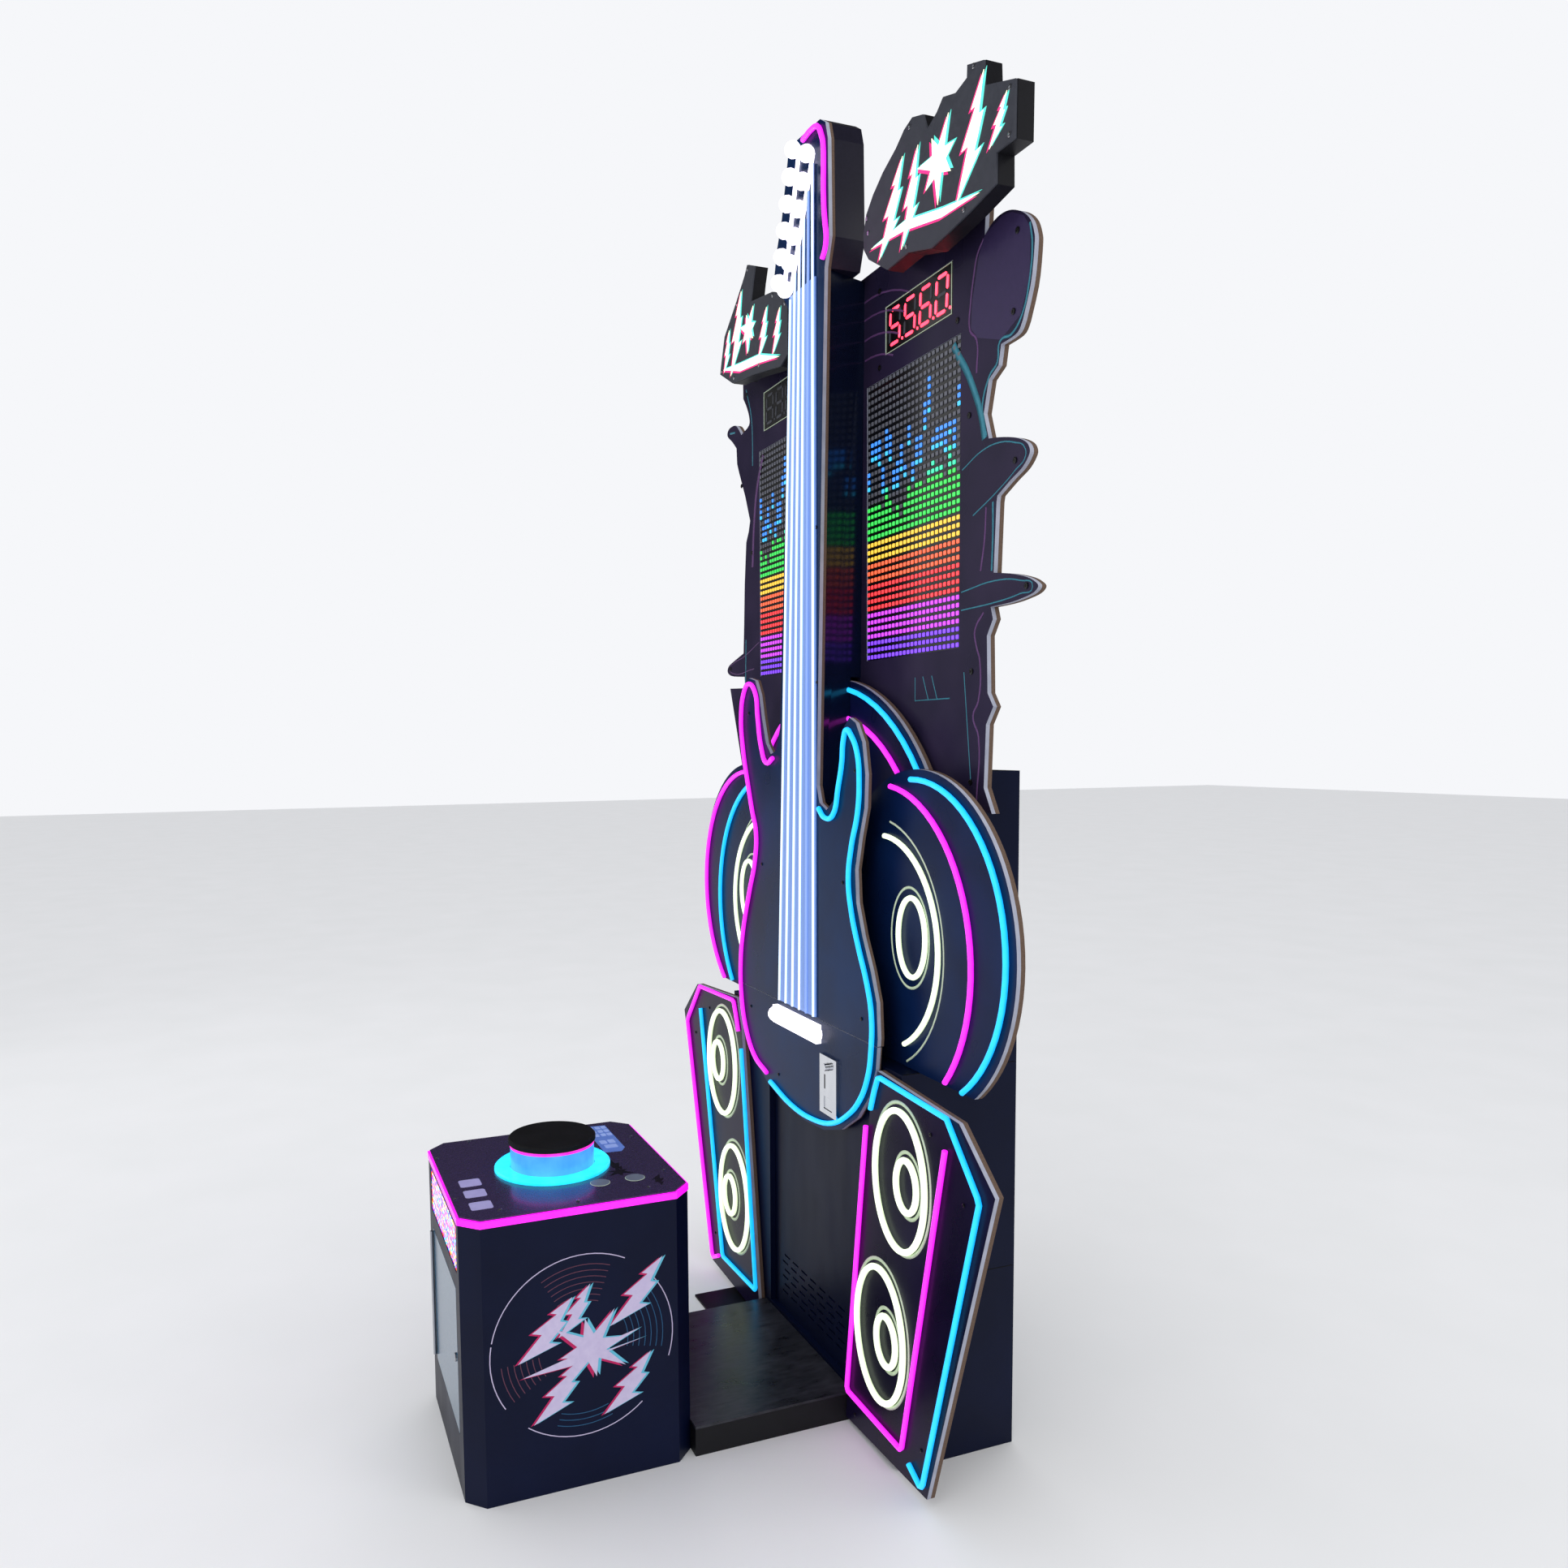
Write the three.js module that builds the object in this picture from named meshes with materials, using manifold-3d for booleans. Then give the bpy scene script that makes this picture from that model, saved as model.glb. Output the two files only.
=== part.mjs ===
// Guitar light tower: a strike-the-pad arcade game.
// A podium with a sprung strike pad stands on a low platform in front of a light tower, which carries
// a guitar, speaker boards, round light boards, display wings and two signs.
// Millimetres, +Z up, the player stands at -Y. The origin is on the floor, under the middle of the
// whole machine.
import * as THREE from 'three';
import { mergeVertices } from 'three/addons/utils/BufferGeometryUtils.js';
import Module from 'manifold-3d';

const wasm = await Module();
wasm.setup();

// ---------------------------------------------------------------- driving dimensions
const GAP = 0.3;                        // clearance between touching pieces
const FIT = 0.5;                        // clearance round a panel in its window

const PODIUM = { width: 513, depth: 495, height: 592, chamfer: 39, wall: 15 };
const PODIUM_DOOR = { halfWidth: 170, low: 120, high: 440 };
const PODIUM_SCREEN = { halfWidth: 190, low: 478, high: 578 };
const BAND = { height: 14, width: 16 };
const TOP_PLATE_THICKNESS = 3;
const PAD = { radius: 98, thickness: 13, travel: 15 };
const SKIRT = { radius: 94, wall: 4, low: 572, high: 662 };
const FLANGE = { radius: 130, thickness: 8 };
const SHAFT_RADIUS = 14;
const SHAFT_CLEARANCE = 0.05;

const PLATFORM = { halfWidth: 252, height: 68, length: 386, plate: 6, wall: 25 };

const TOWER = {
  halfWidth: 471,
  wall: 15,
  front: 388,                           // lower front, behind the speaker boards
  middleFront: 450,                     // front behind the round boards
  upperFront: 512,                      // front behind the wings
  back: 672,
  stepHeight: 868,
  shelfHeight: 1420,
  height: 1499,
};
const REAR_DOOR = { halfWidth: 200, low: 250, high: 1250 };
const UPPER_BOX = { halfWidth: 430, front: 511.5, back: 600, low: 1499.5, high: 2600, wall: 12 };
const VENT_PANEL = { halfWidth: 225, low: 75, high: 690 };
const FAN = { size: 120, depth: 25, bore: 57, x: 250, z: 1370 };

const FACE = 368;                       // front face of the guitar and the speaker boards
const ROUND_FACE = 430;                 // front face of the round boards
const DISC_FACE = 462;                  // front face of the centre disc
const WING_FACE = 492;                  // front face of the wings
const SIGN_FACE = 416;                  // front face of the signs
const BOARD = 18.5;                     // laminated board thickness
const GUITAR_BOARD = 16;
const SEAM = 913;                       // height where the guitar's lower board meets the upper one
const NECK_TOP = 2606;

const LED = { inner: 120, outer: 512, low: 1750, high: 2367 };
const SCORE = { inner: 204, outer: 480, low: 2414, high: 2518 };

const STRINGS = {
  count: 6, low: 916, lowEdges: [-102, 96], high: 2600, highEdges: [-16, 103], radius: 3.8,
};
const BRIDGE = { x: 3, z: 880, halfWidth: 126, height: 44, pitch: 46, globe: 20 };
const HEAD_LAMP = {
  radius: 19, besideString: 4, innerLow: 2614, innerStep: 50.2,
  outerX: -54, outerStepX: 16.4, outerLow: 2641, outerStep: 52.8,
};

const COIN_PLATE = { left: 134, right: 220, low: 700, high: 838, thickness: 7 };
const COIN_RETURN = { left: 156, right: 198, low: 712, high: 742 };
const REJECT = { x: 177, z: 815, radius: 9, travel: 5 };

// ---------------------------------------------------------------- materials
const paint = (color, roughness, metalness = 0) =>
  new THREE.MeshStandardMaterial({ color, roughness, metalness });
const laminate = () => paint(0x14131c, 0.45);
const printedBoard = () => paint(0x1b1626, 0.4);
const blackSteel = () => paint(0x17171b, 0.55, 0.4);
const zinc = () => paint(0xb9bcc2, 0.35, 1);
const chrome = () => paint(0xd8dade, 0.12, 1);
const glow = (color) => {
  const material = paint(color, 0.3);
  material.emissive = new THREE.Color(color);
  return material;
};

// ---------------------------------------------------------------- geometry helpers
function block(width, depth, height, x, y, z) {
  const geometry = new THREE.BoxGeometry(width, depth, height);
  geometry.translate(x, y, z);
  return geometry;
}

// A box given by its low and high corners.
function span(low, high) {
  const size = high.map((value, axis) => value - low[axis]);
  const middle = high.map((value, axis) => (value + low[axis]) / 2);
  return block(...size, ...middle);
}

// A round bar along X, Y or Z, centred on a point.
function bar(axis, radius, length, [x, y, z], segments = 24) {
  const geometry = new THREE.CylinderGeometry(radius, radius, length, segments);
  if (axis === 'x') geometry.rotateZ(Math.PI / 2);
  if (axis === 'z') geometry.rotateX(Math.PI / 2);
  geometry.translate(x, y, z);
  return geometry;
}

// A lathe profile of [radius, height] points turned about the Z axis.
function turned(profile, segments, x = 0, y = 0, z = 0) {
  const points = profile.map(([radius, height]) => new THREE.Vector2(radius, height));
  const geometry = new THREE.LatheGeometry(points, segments);
  geometry.rotateX(Math.PI / 2);
  geometry.translate(x, y, z);
  return geometry;
}

function polygon(points) {
  return new THREE.Shape(points.map(([x, z]) => new THREE.Vector2(x, z)));
}

const mirrored = (points) => points.map(([x, z]) => [-x, z]);

// A flat board that stands upright: the shape is drawn in x and z, and the board runs back from `front`.
function upright(shape, front, thickness, curveSegments = 8) {
  const geometry = new THREE.ExtrudeGeometry(shape, { depth: thickness, bevelEnabled: false, curveSegments });
  geometry.rotateX(Math.PI / 2);
  geometry.translate(0, front + thickness, 0);
  return geometry;
}

// A prism on a horizontal outline, from z = low to z = high.
function prism(shape, low, high) {
  const geometry = new THREE.ExtrudeGeometry(shape, { depth: high - low, bevelEnabled: false });
  geometry.translate(0, 0, low);
  return geometry;
}

function toSolid(geometry) {
  const bare = geometry.clone();
  bare.deleteAttribute('normal');
  bare.deleteAttribute('uv');
  const merged = mergeVertices(bare, 1e-4);
  const vertProperties = new Float32Array(merged.attributes.position.array);
  const triVerts = new Uint32Array(merged.index.array);
  return new wasm.Manifold(new wasm.Mesh({ numProp: 3, vertProperties, triVerts }));
}

function toGeometry(solid) {
  const { vertProperties, triVerts } = solid.getMesh();
  const geometry = new THREE.BufferGeometry();
  geometry.setAttribute('position', new THREE.BufferAttribute(new Float32Array(vertProperties), 3));
  geometry.setIndex(new THREE.BufferAttribute(new Uint32Array(triVerts), 1));
  geometry.computeVertexNormals();
  return geometry;
}

function cut(base, ...tools) {
  const solid = tools.reduce((left, tool) => left.subtract(toSolid(tool)), toSolid(base));
  return toGeometry(solid);
}

function join(base, ...others) {
  const solid = others.reduce((left, other) => left.add(toSolid(other)), toSolid(base));
  return toGeometry(solid);
}

function common(base, other) {
  return toGeometry(toSolid(base).intersect(toSolid(other)));
}

function piece(name, geometry, material) {
  const mesh = new THREE.Mesh(geometry, material);
  mesh.name = name;
  return mesh;
}

// ---------------------------------------------------------------- podium (its own centre is the origin)
function podiumOutline(inset) {
  const x = PODIUM.width / 2 - inset;
  const y = PODIUM.depth / 2 - inset;
  const corner = PODIUM.chamfer - inset * (2 - Math.SQRT2);
  return polygon([
    [x - corner, -y], [x, -y + corner], [x, y - corner], [x - corner, y],
    [-x + corner, y], [-x, y - corner], [-x, -y + corner], [-x + corner, -y],
  ]);
}

function buildPodium() {
  const podium = new THREE.Group();
  podium.position.y = -PODIUM.depth / 2;
  const front = -PODIUM.depth / 2;
  const { wall, height } = PODIUM;
  const door = PODIUM_DOOR;
  const screen = PODIUM_SCREEN;

  const hollow = prism(podiumOutline(wall), wall, height + 1);
  const doorway = span([-door.halfWidth, front - 1, door.low], [door.halfWidth, front + wall + 1, door.high]);
  const screenHole = span(
    [-screen.halfWidth, front - 1, screen.low],
    [screen.halfWidth, front + wall + 1, screen.high],
  );
  const cabinet = cut(prism(podiumOutline(0), 0, height), hollow, doorway, screenHole);
  podium.add(piece('podium_cabinet', cabinet, laminate()));

  const clear = 2;                      // gap all round the hinged door
  const lockX = door.halfWidth - 22;
  const lockZ = (door.low + door.high) / 2;
  const doorSlab = span(
    [-door.halfWidth + clear, front, door.low + clear],
    [door.halfWidth - clear, front + wall, door.high - clear],
  );
  const lockHole = bar('y', 9.5, 3 * wall, [lockX, front + wall / 2, lockZ]);
  podium.add(piece('podium_door', cut(doorSlab, lockHole), paint(0x0b5668, 0.2)));

  const knuckle = bar('z', 3.5, door.high - door.low - 20, [-door.halfWidth - 3, front - 4, lockZ], 12);
  podium.add(piece('podium_door_hinge', knuckle, zinc()));

  const barrel = bar('y', 9, wall + 6, [lockX, front + wall / 2, lockZ]);
  const camTail = bar('y', 5, 8, [lockX, front + wall + 6, lockZ], 16);
  const cam = block(12, 3, 44, lockX, front + wall + 8, lockZ + 14);
  podium.add(piece('podium_door_lock', join(barrel, camTail, cam), zinc()));

  const screenBox = span(
    [-screen.halfWidth + FIT, front + 2, screen.low + FIT],
    [screen.halfWidth - FIT, front + wall + 20, screen.high - FIT],
  );
  podium.add(piece('podium_display', screenBox, glow(0x5a38c8)));

  const bandHole = podiumOutline(BAND.width);
  const bandShape = podiumOutline(-2);
  bandShape.holes.push(bandHole);
  const bandLow = height + GAP;
  const bandHigh = bandLow + BAND.height;
  podium.add(piece('edge_light_band', prism(bandShape, bandLow, bandHigh), glow(0xff1fd0)));

  const plateLow = bandHigh + GAP;
  const plateHigh = plateLow + TOP_PLATE_THICKNESS;
  const plateMiddle = (plateLow + plateHigh) / 2;
  const skirtHole = bar('z', SKIRT.radius + 1.5, TOP_PLATE_THICKNESS + 2, [0, 0, plateMiddle], 48);
  const plate = cut(prism(podiumOutline(3), plateLow, plateHigh), skirtHole);
  podium.add(piece('top_plate', plate, paint(0x26222c, 0.25)));

  const flangeLow = plateHigh + GAP;
  const flange = turned([
    [SKIRT.radius + 2, 0], [FLANGE.radius, 0], [FLANGE.radius, FLANGE.thickness - 3],
    [FLANGE.radius - 3, FLANGE.thickness], [SKIRT.radius + 2, FLANGE.thickness], [SKIRT.radius + 2, 0],
  ], 48, 0, 0, flangeLow);
  podium.add(piece('light_flange', flange, glow(0x28c8ff)));

  // The skirt, the rim light and the pad move down together on the plunger shaft.
  const { radius, low, high } = SKIRT;
  const skirt = turned([
    [0, high], [radius, high], [radius, low], [radius - SKIRT.wall, low],
    [radius - SKIRT.wall, high - SKIRT.wall], [0, high - SKIRT.wall],
  ].reverse(), 48);
  podium.add(piece('pad_skirt', skirt, glow(0x4aa6e8)));
  const rimLow = high + GAP;
  const rim = turned([[0, 0], [radius + 1, 0], [radius + 1, 6.5], [0, 6.5]], 48, 0, 0, rimLow);
  podium.add(piece('pad_rim_light', rim, glow(0xff2fc4)));
  const padLow = rimLow + 6.5 + GAP;
  const pad = turned([
    [0, 0], [PAD.radius - 1.5, 0], [PAD.radius, 1.5], [PAD.radius, PAD.thickness - 3],
    [PAD.radius - 3, PAD.thickness], [0, PAD.thickness],
  ], 48, 0, 0, padLow);
  podium.add(piece('strike_pad', pad, paint(0x0d0d0f, 0.8)));

  const shaftTop = high - SKIRT.wall - GAP;
  const shaftLow = 478;
  const shaft = bar('z', SHAFT_RADIUS, shaftTop - shaftLow, [0, 0, (shaftTop + shaftLow) / 2], 32);
  podium.add(piece('plunger_shaft', shaft, chrome()));

  // The bush is held by a bracket that hangs from the top plate outside the skirt.
  const bracketLow = 536;
  const bracketLegX = radius + 30;
  const bracketTop = plateLow - GAP;
  const bushHole = bar('z', 20 + GAP, 40, [0, 0, bracketLow + 6], 32);
  const bracketBar = block(2 * bracketLegX + 20, 110, 12, 0, 0, bracketLow + 6);
  const legX = bracketLegX + 6;
  const legHeight = bracketTop - bracketLow;
  const leg = (side) => block(8, 110, legHeight, side * legX, 0, bracketLow + legHeight / 2);
  const bracket = cut(join(bracketBar, leg(-1), leg(1)), bushHole);
  podium.add(piece('plunger_bracket', bracket, blackSteel()));
  const bore = SHAFT_RADIUS + SHAFT_CLEARANCE;
  const bushTop = bracketLow + 12 + GAP;
  const bush = turned([
    [bore, -30], [20, -30], [20, 0], [27, 0], [27, 6], [bore, 6], [bore, -30],
  ], 32, 0, 0, bushTop);
  podium.add(piece('shaft_bush', bush, paint(0xb08a3c, 0.35, 1)));

  const springLow = bushTop + 6 + GAP + 2;
  const springHigh = high - SKIRT.wall - GAP - 2;
  podium.add(piece('return_spring', springGeometry(springLow, springHigh, 21, 2, 6), zinc()));

  const sensorTop = shaftLow - PAD.travel - 4;
  const sensorLow = sensorTop - 6;
  const sensorBar = block(120, 60, 6, 0, 0, sensorLow + 3);
  const armHeight = bracketLow - GAP - sensorLow;
  const arm = (side) => block(4, 60, armHeight, side * 60, 0, sensorLow + armHeight / 2);
  podium.add(piece('strike_sensor', join(sensorBar, arm(-1), arm(1)), paint(0x1d6b3a, 0.5)));
  return podium;
}

// A compression spring of round wire, as a section swept along a helix.
function springGeometry(low, high, radius, wire, turns) {
  class Helix extends THREE.Curve {
    getPoint(t, target = new THREE.Vector3()) {
      const angle = 2 * Math.PI * turns * t;
      return target.set(radius * Math.cos(angle), radius * Math.sin(angle), low + (high - low) * t);
    }
  }
  const section = new THREE.Shape();
  section.absarc(0, 0, wire, 0, 2 * Math.PI);
  return new THREE.ExtrudeGeometry(section, {
    extrudePath: new Helix(), steps: turns * 14, bevelEnabled: false, curveSegments: 3,
  });
}

// ---------------------------------------------------------------- platform
function buildPlatform() {
  const platform = new THREE.Group();
  const { halfWidth, height, length, plate, wall } = PLATFORM;
  const deck = span([-halfWidth, GAP, height - plate], [halfWidth, length, height]);
  platform.add(piece('platform_deck', deck, blackSteel()));
  const frameTop = height - plate - GAP;
  const bays = 3;
  const bay = (length - GAP - (bays + 1) * wall) / bays;
  const wells = Array.from({ length: bays }, (_, index) => {
    const y = GAP + wall + index * (bay + wall);
    return span([-halfWidth + wall, y, -1], [halfWidth - wall, y + bay, frameTop + 1]);
  });
  const frame = cut(span([-halfWidth, GAP, 0], [halfWidth, length, frameTop]), ...wells);
  platform.add(piece('platform_frame', frame, blackSteel()));
  const footPlate = span([-466, 258, 0], [-halfWidth - 1, 386, 6]);
  platform.add(piece('side_foot_plate', footPlate, blackSteel()));
  return platform;
}

// ---------------------------------------------------------------- tower
// The side profile steps back twice, so each layer of boards has its own front to stand on.
function towerProfile(inset) {
  const { front, middleFront, upperFront, back, stepHeight, shelfHeight, height } = TOWER;
  return [
    [front + inset, inset], [back - inset, inset], [back - inset, height - inset],
    [upperFront + inset, height - inset], [upperFront + inset, shelfHeight - inset],
    [middleFront + inset, shelfHeight - inset], [middleFront + inset, stepHeight - inset],
    [front + inset, stepHeight - inset],
  ];
}

// An outline of [y, z] points extruded along X, centred on the middle plane.
function acrossX(points, halfWidth) {
  const geometry = new THREE.ExtrudeGeometry(polygon(points), { depth: 2 * halfWidth, bevelEnabled: false });
  geometry.rotateX(Math.PI / 2);
  geometry.rotateZ(Math.PI / 2);
  geometry.translate(-halfWidth, 0, 0);
  return geometry;
}

function buildTower() {
  const tower = new THREE.Group();
  const { halfWidth, wall, back, front } = TOWER;
  const door = REAR_DOOR;
  const plate = COIN_PLATE;
  const inner = acrossX(towerProfile(wall), halfWidth - wall);
  const ventWindow = span(
    [-VENT_PANEL.halfWidth, front - 1, VENT_PANEL.low],
    [VENT_PANEL.halfWidth, front + wall + 1, VENT_PANEL.high],
  );
  const coinHole = span(
    [plate.left + 6, front - 1, plate.low + 4],
    [plate.right - 6, front + wall + 1, plate.high - 4],
  );
  const doorway = span([-door.halfWidth, back - wall - 1, door.low], [door.halfWidth, back + 1, door.high]);
  const fanHole = bar('y', FAN.bore, 3 * wall, [FAN.x, back - wall / 2, FAN.z], 32);
  const inletHole = span([290, back - wall - 1, 96], [370, back + 1, 134]);
  const body = acrossX(towerProfile(0), halfWidth);
  const shell = cut(body, inner, ventWindow, coinHole, doorway, fanHole, inletHole);
  tower.add(piece('tower_cabinet', shell, laminate()));

  const clear = 2;
  const doorSlab = span(
    [-door.halfWidth + clear, back - wall, door.low + clear],
    [door.halfWidth - clear, back, door.high - clear],
  );
  const lockX = door.halfWidth - 24;
  const lockZ = (door.low + door.high) / 2;
  const lockHole = bar('y', 9.5, 3 * wall, [lockX, back - wall / 2, lockZ]);
  tower.add(piece('rear_door', cut(doorSlab, lockHole), laminate()));
  const knuckle = bar('z', 3.5, door.high - door.low - 40, [-door.halfWidth - 3, back + 4, lockZ], 12);
  tower.add(piece('rear_door_hinge', knuckle, zinc()));
  const barrel = bar('y', 9, wall + 6, [lockX, back - wall / 2, lockZ]);
  const camTail = bar('y', 5, 8, [lockX, back - wall - 6, lockZ], 16);
  const cam = block(12, 3, 44, lockX, back - wall - 8, lockZ + 14);
  tower.add(piece('rear_door_lock', join(barrel, camTail, cam), zinc()));

  tower.add(piece('upper_cabinet', upperCabinet(), laminate()));

  tower.add(piece('front_vent_panel', ventPanel(), laminate()));
  for (const [side, name] of [[-1, 'left'], [1, 'right']]) {
    const driver = turned([
      [0, 0], [24, 0], [24, 22], [34, 26], [70, 52], [76, 52], [76, 56], [66, 56], [20, 30], [0, 34],
    ], 28);
    driver.rotateX(Math.PI / 2);
    driver.translate(side * 115, front + wall + 72, 190);
    tower.add(piece(`loudspeaker_${name}`, driver, paint(0x202022, 0.7)));
  }

  // Service parts inside the cabinet.
  const shelfBack = TOWER.middleFront + wall + GAP;
  tower.add(piece('power_supply', span([-330, shelfBack, 1090], [-120, shelfBack + 50, 1190]), zinc()));
  const board = span([60, shelfBack, 1040], [310, shelfBack + 16, 1230]);
  tower.add(piece('control_board', board, paint(0x17663a, 0.5)));
  const boxLow = wall + GAP;
  const coinBox = cut(span([95, 480, boxLow], [265, 640, 175]), span([98, 483, boxLow + 3], [262, 637, 176]));
  tower.add(piece('coin_box', coinBox, zinc()));

  tower.add(piece('fan_frame', fanFrame(), paint(0x18181a, 0.6)));
  tower.add(piece('fan_rotor', fanRotor(), paint(0x101012, 0.5)));

  const inlet = cut(
    span([290 + FIT, back - wall - 14, 96 + FIT], [370 - FIT, back + 2, 134 - FIT]),
    span([346, back - 9, 105], [362, back + 3, 125]),
    span([298, back - 12, 103], [330, back + 3, 127]),
  );
  tower.add(piece('power_inlet', inlet, paint(0x151517, 0.5)));
  const rocker = common(
    span([347, back - 6, 106], [361, back + 5, 124]),
    bar('x', 9, 14, [354, back - 2, 115], 24),
  );
  tower.add(piece('power_rocker', rocker, paint(0xb01818, 0.4)));
  return tower;
}

// A box that is open towards the wings, with a shallow wider tray behind the display panels.
function upperCabinet() {
  const { halfWidth, front, back, low, high, wall } = UPPER_BOX;
  const tray = {
    halfWidth: LED.outer + 10, back: front + 20, low: LED.low - 20, high: SCORE.high + 15, wall: 4,
  };
  const outer = join(
    span([-halfWidth, front, low], [halfWidth, back, high]),
    span([-tray.halfWidth, front, tray.low], [tray.halfWidth, tray.back, tray.high]),
  );
  return cut(
    outer,
    span([-halfWidth + wall, front - 1, low + wall], [halfWidth - wall, back - wall, high - wall]),
    span(
      [-tray.halfWidth + tray.wall, front - 1, tray.low + tray.wall],
      [tray.halfWidth - tray.wall, tray.back - tray.wall, tray.high - tray.wall],
    ),
  );
}

// The recessed panel between the speakers, with rows of short slots low down.
function ventPanel() {
  const frontY = TOWER.front + TOWER.wall + GAP;
  const rows = 6;
  const columns = 7;
  const slots = [];
  for (let row = 0; row < rows; row += 1) {
    for (let column = 0; column < columns; column += 1) {
      const x = (column - (columns - 1) / 2) * 52 + (row % 2) * 12 - 6;
      const z = 120 + row * 20;
      slots.push(block(34, 40, 5, x, frontY, z));
    }
  }
  const panel = span([-VENT_PANEL.halfWidth - 18, frontY, 40], [VENT_PANEL.halfWidth + 18, frontY + 12, 700]);
  return cut(panel, ...slots);
}

function fanFrame() {
  const { size, depth, bore, x, z } = FAN;
  const backY = TOWER.back - TOWER.wall - GAP;
  const middle = backY - depth / 2;
  const body = cut(block(size, depth, size, x, middle, z), bar('y', bore, depth + 2, [x, middle, z], 32));
  const strutY = backY - depth + 1.5;
  const struts = [block(size - 4, 3, 6, x, strutY, z), block(6, 3, size - 4, x, strutY, z)];
  return join(body, ...struts, bar('y', 20, 3, [x, strutY, z], 24));
}

function fanRotor() {
  const { depth, bore, x, z } = FAN;
  const backY = TOWER.back - TOWER.wall - GAP;
  const length = depth - 8;
  const middle = backY - 1.5 - length / 2;
  const blades = [];
  const count = 7;
  for (let index = 0; index < count; index += 1) {
    const blade = new THREE.BoxGeometry(bore - 4 - 18, 2, 22);
    blade.rotateX(0.6);
    blade.translate(18 + (bore - 4 - 18) / 2, 0, 0);
    blade.rotateY((2 * Math.PI * index) / count);
    blade.translate(x, middle, z);
    blades.push(blade);
  }
  return join(bar('y', 20, length, [x, middle, z], 24), ...blades);
}

// ---------------------------------------------------------------- light boards
// Outlines are given for the right side as [x, z] and mirrored for the left.
const SPEAKER_OUTLINE = [[254, 12], [613, 28], [842, 739], [721, 842], [402, 862], [396, 838], [372, 790]];

function roundBoard(side) {
  const shape = new THREE.Shape();
  shape.absarc(side * 455, 1148, 357, 0, 2 * Math.PI);
  const disc = upright(shape, ROUND_FACE, BOARD, 40);
  const floorCut = span([-900, ROUND_FACE - 5, 700], [900, ROUND_FACE + BOARD + 5, TOWER.stepHeight + 1]);
  return cut(disc, floorCut);
}

function centreDisc() {
  const shape = new THREE.Shape();
  shape.absarc(0, 1157, 556, 0, 2 * Math.PI);
  const disc = upright(shape, DISC_FACE, BOARD, 44);
  const above = span([-600, DISC_FACE - 5, TOWER.shelfHeight + 1], [600, DISC_FACE + BOARD + 5, 1800]);
  return common(disc, above);
}

// The right wing is cut as a microphone on a stand with two cymbals.
function rightWingShape() {
  const shape = new THREE.Shape();
  shape.moveTo(1, 1424);
  shape.lineTo(1, 2614);
  shape.lineTo(598, 2614);
  shape.lineTo(592, 2522);
  shape.splineThru(vectors([
    [619, 2536], [649, 2540], [680, 2534], [713, 2517], [737, 2495], [749, 2469], [751, 2447],
    [742, 2385], [718, 2326],
  ]));
  shape.splineThru(vectors([[700, 2308], [650, 2304]]));
  shape.lineTo(642, 2268);
  shape.lineTo(610, 2250);
  shape.lineTo(594, 2191);
  shape.lineTo(612, 2140);
  shape.splineThru(vectors([
    [653, 2133], [700, 2121], [732, 2106], [744, 2091], [741, 2079], [721, 2062], [685, 2047], [643, 2027],
  ]));
  shape.lineTo(640, 2016);
  shape.lineTo(633, 1884);
  shape.splineThru(vectors([
    [692, 1874], [739, 1862], [764, 1851], [775, 1841], [761, 1831], [728, 1825], [685, 1821], [624, 1820],
  ]));
  shape.lineTo(632, 1796);
  shape.lineTo(612, 1766);
  shape.lineTo(616, 1655);
  shape.lineTo(636, 1628);
  shape.lineTo(612, 1594);
  shape.lineTo(606, 1470);
  shape.lineTo(635, 1420);
  shape.lineTo(586, 1424);
  shape.closePath();
  return shape;
}

// The left wing is cut as a stand with a hooked clamp and one cymbal.
function leftWingShape() {
  const shape = new THREE.Shape();
  shape.moveTo(-1, 1424);
  shape.lineTo(-1, 2614);
  shape.lineTo(-600, 2614);
  shape.lineTo(-626, 2578);
  shape.lineTo(-625, 2540);
  shape.splineThru(vectors([[-600, 2510], [-582, 2478], [-586, 2456], [-643, 2444]]));
  shape.splineThru(vectors([
    [-660, 2462], [-690, 2482], [-738, 2483], [-750, 2466], [-713, 2441], [-680, 2415],
  ]));
  shape.lineTo(-676, 2370);
  shape.lineTo(-660, 2340);
  shape.lineTo(-616, 2266);
  shape.lineTo(-581, 2192);
  shape.lineTo(-592, 2163);
  shape.lineTo(-611, 2136);
  shape.lineTo(-625, 2019);
  shape.lineTo(-632, 1900);
  shape.lineTo(-638, 1823);
  shape.splineThru(vectors([[-710, 1806], [-755, 1793], [-765, 1776], [-729, 1762], [-631, 1755]]));
  shape.lineTo(-628, 1722);
  shape.lineTo(-745, 1726);
  shape.lineTo(-653, 1493);
  shape.lineTo(-640, 1424);
  shape.closePath();
  return shape;
}

const vectors = (points) => points.map(([x, z]) => new THREE.Vector2(x, z));

function windowPath(side, { inner, outer, low, high }, clearance) {
  return polygon([
    [side * (inner - clearance), low - clearance], [side * (outer + clearance), low - clearance],
    [side * (outer + clearance), high + clearance], [side * (inner - clearance), high + clearance],
  ]);
}

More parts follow.
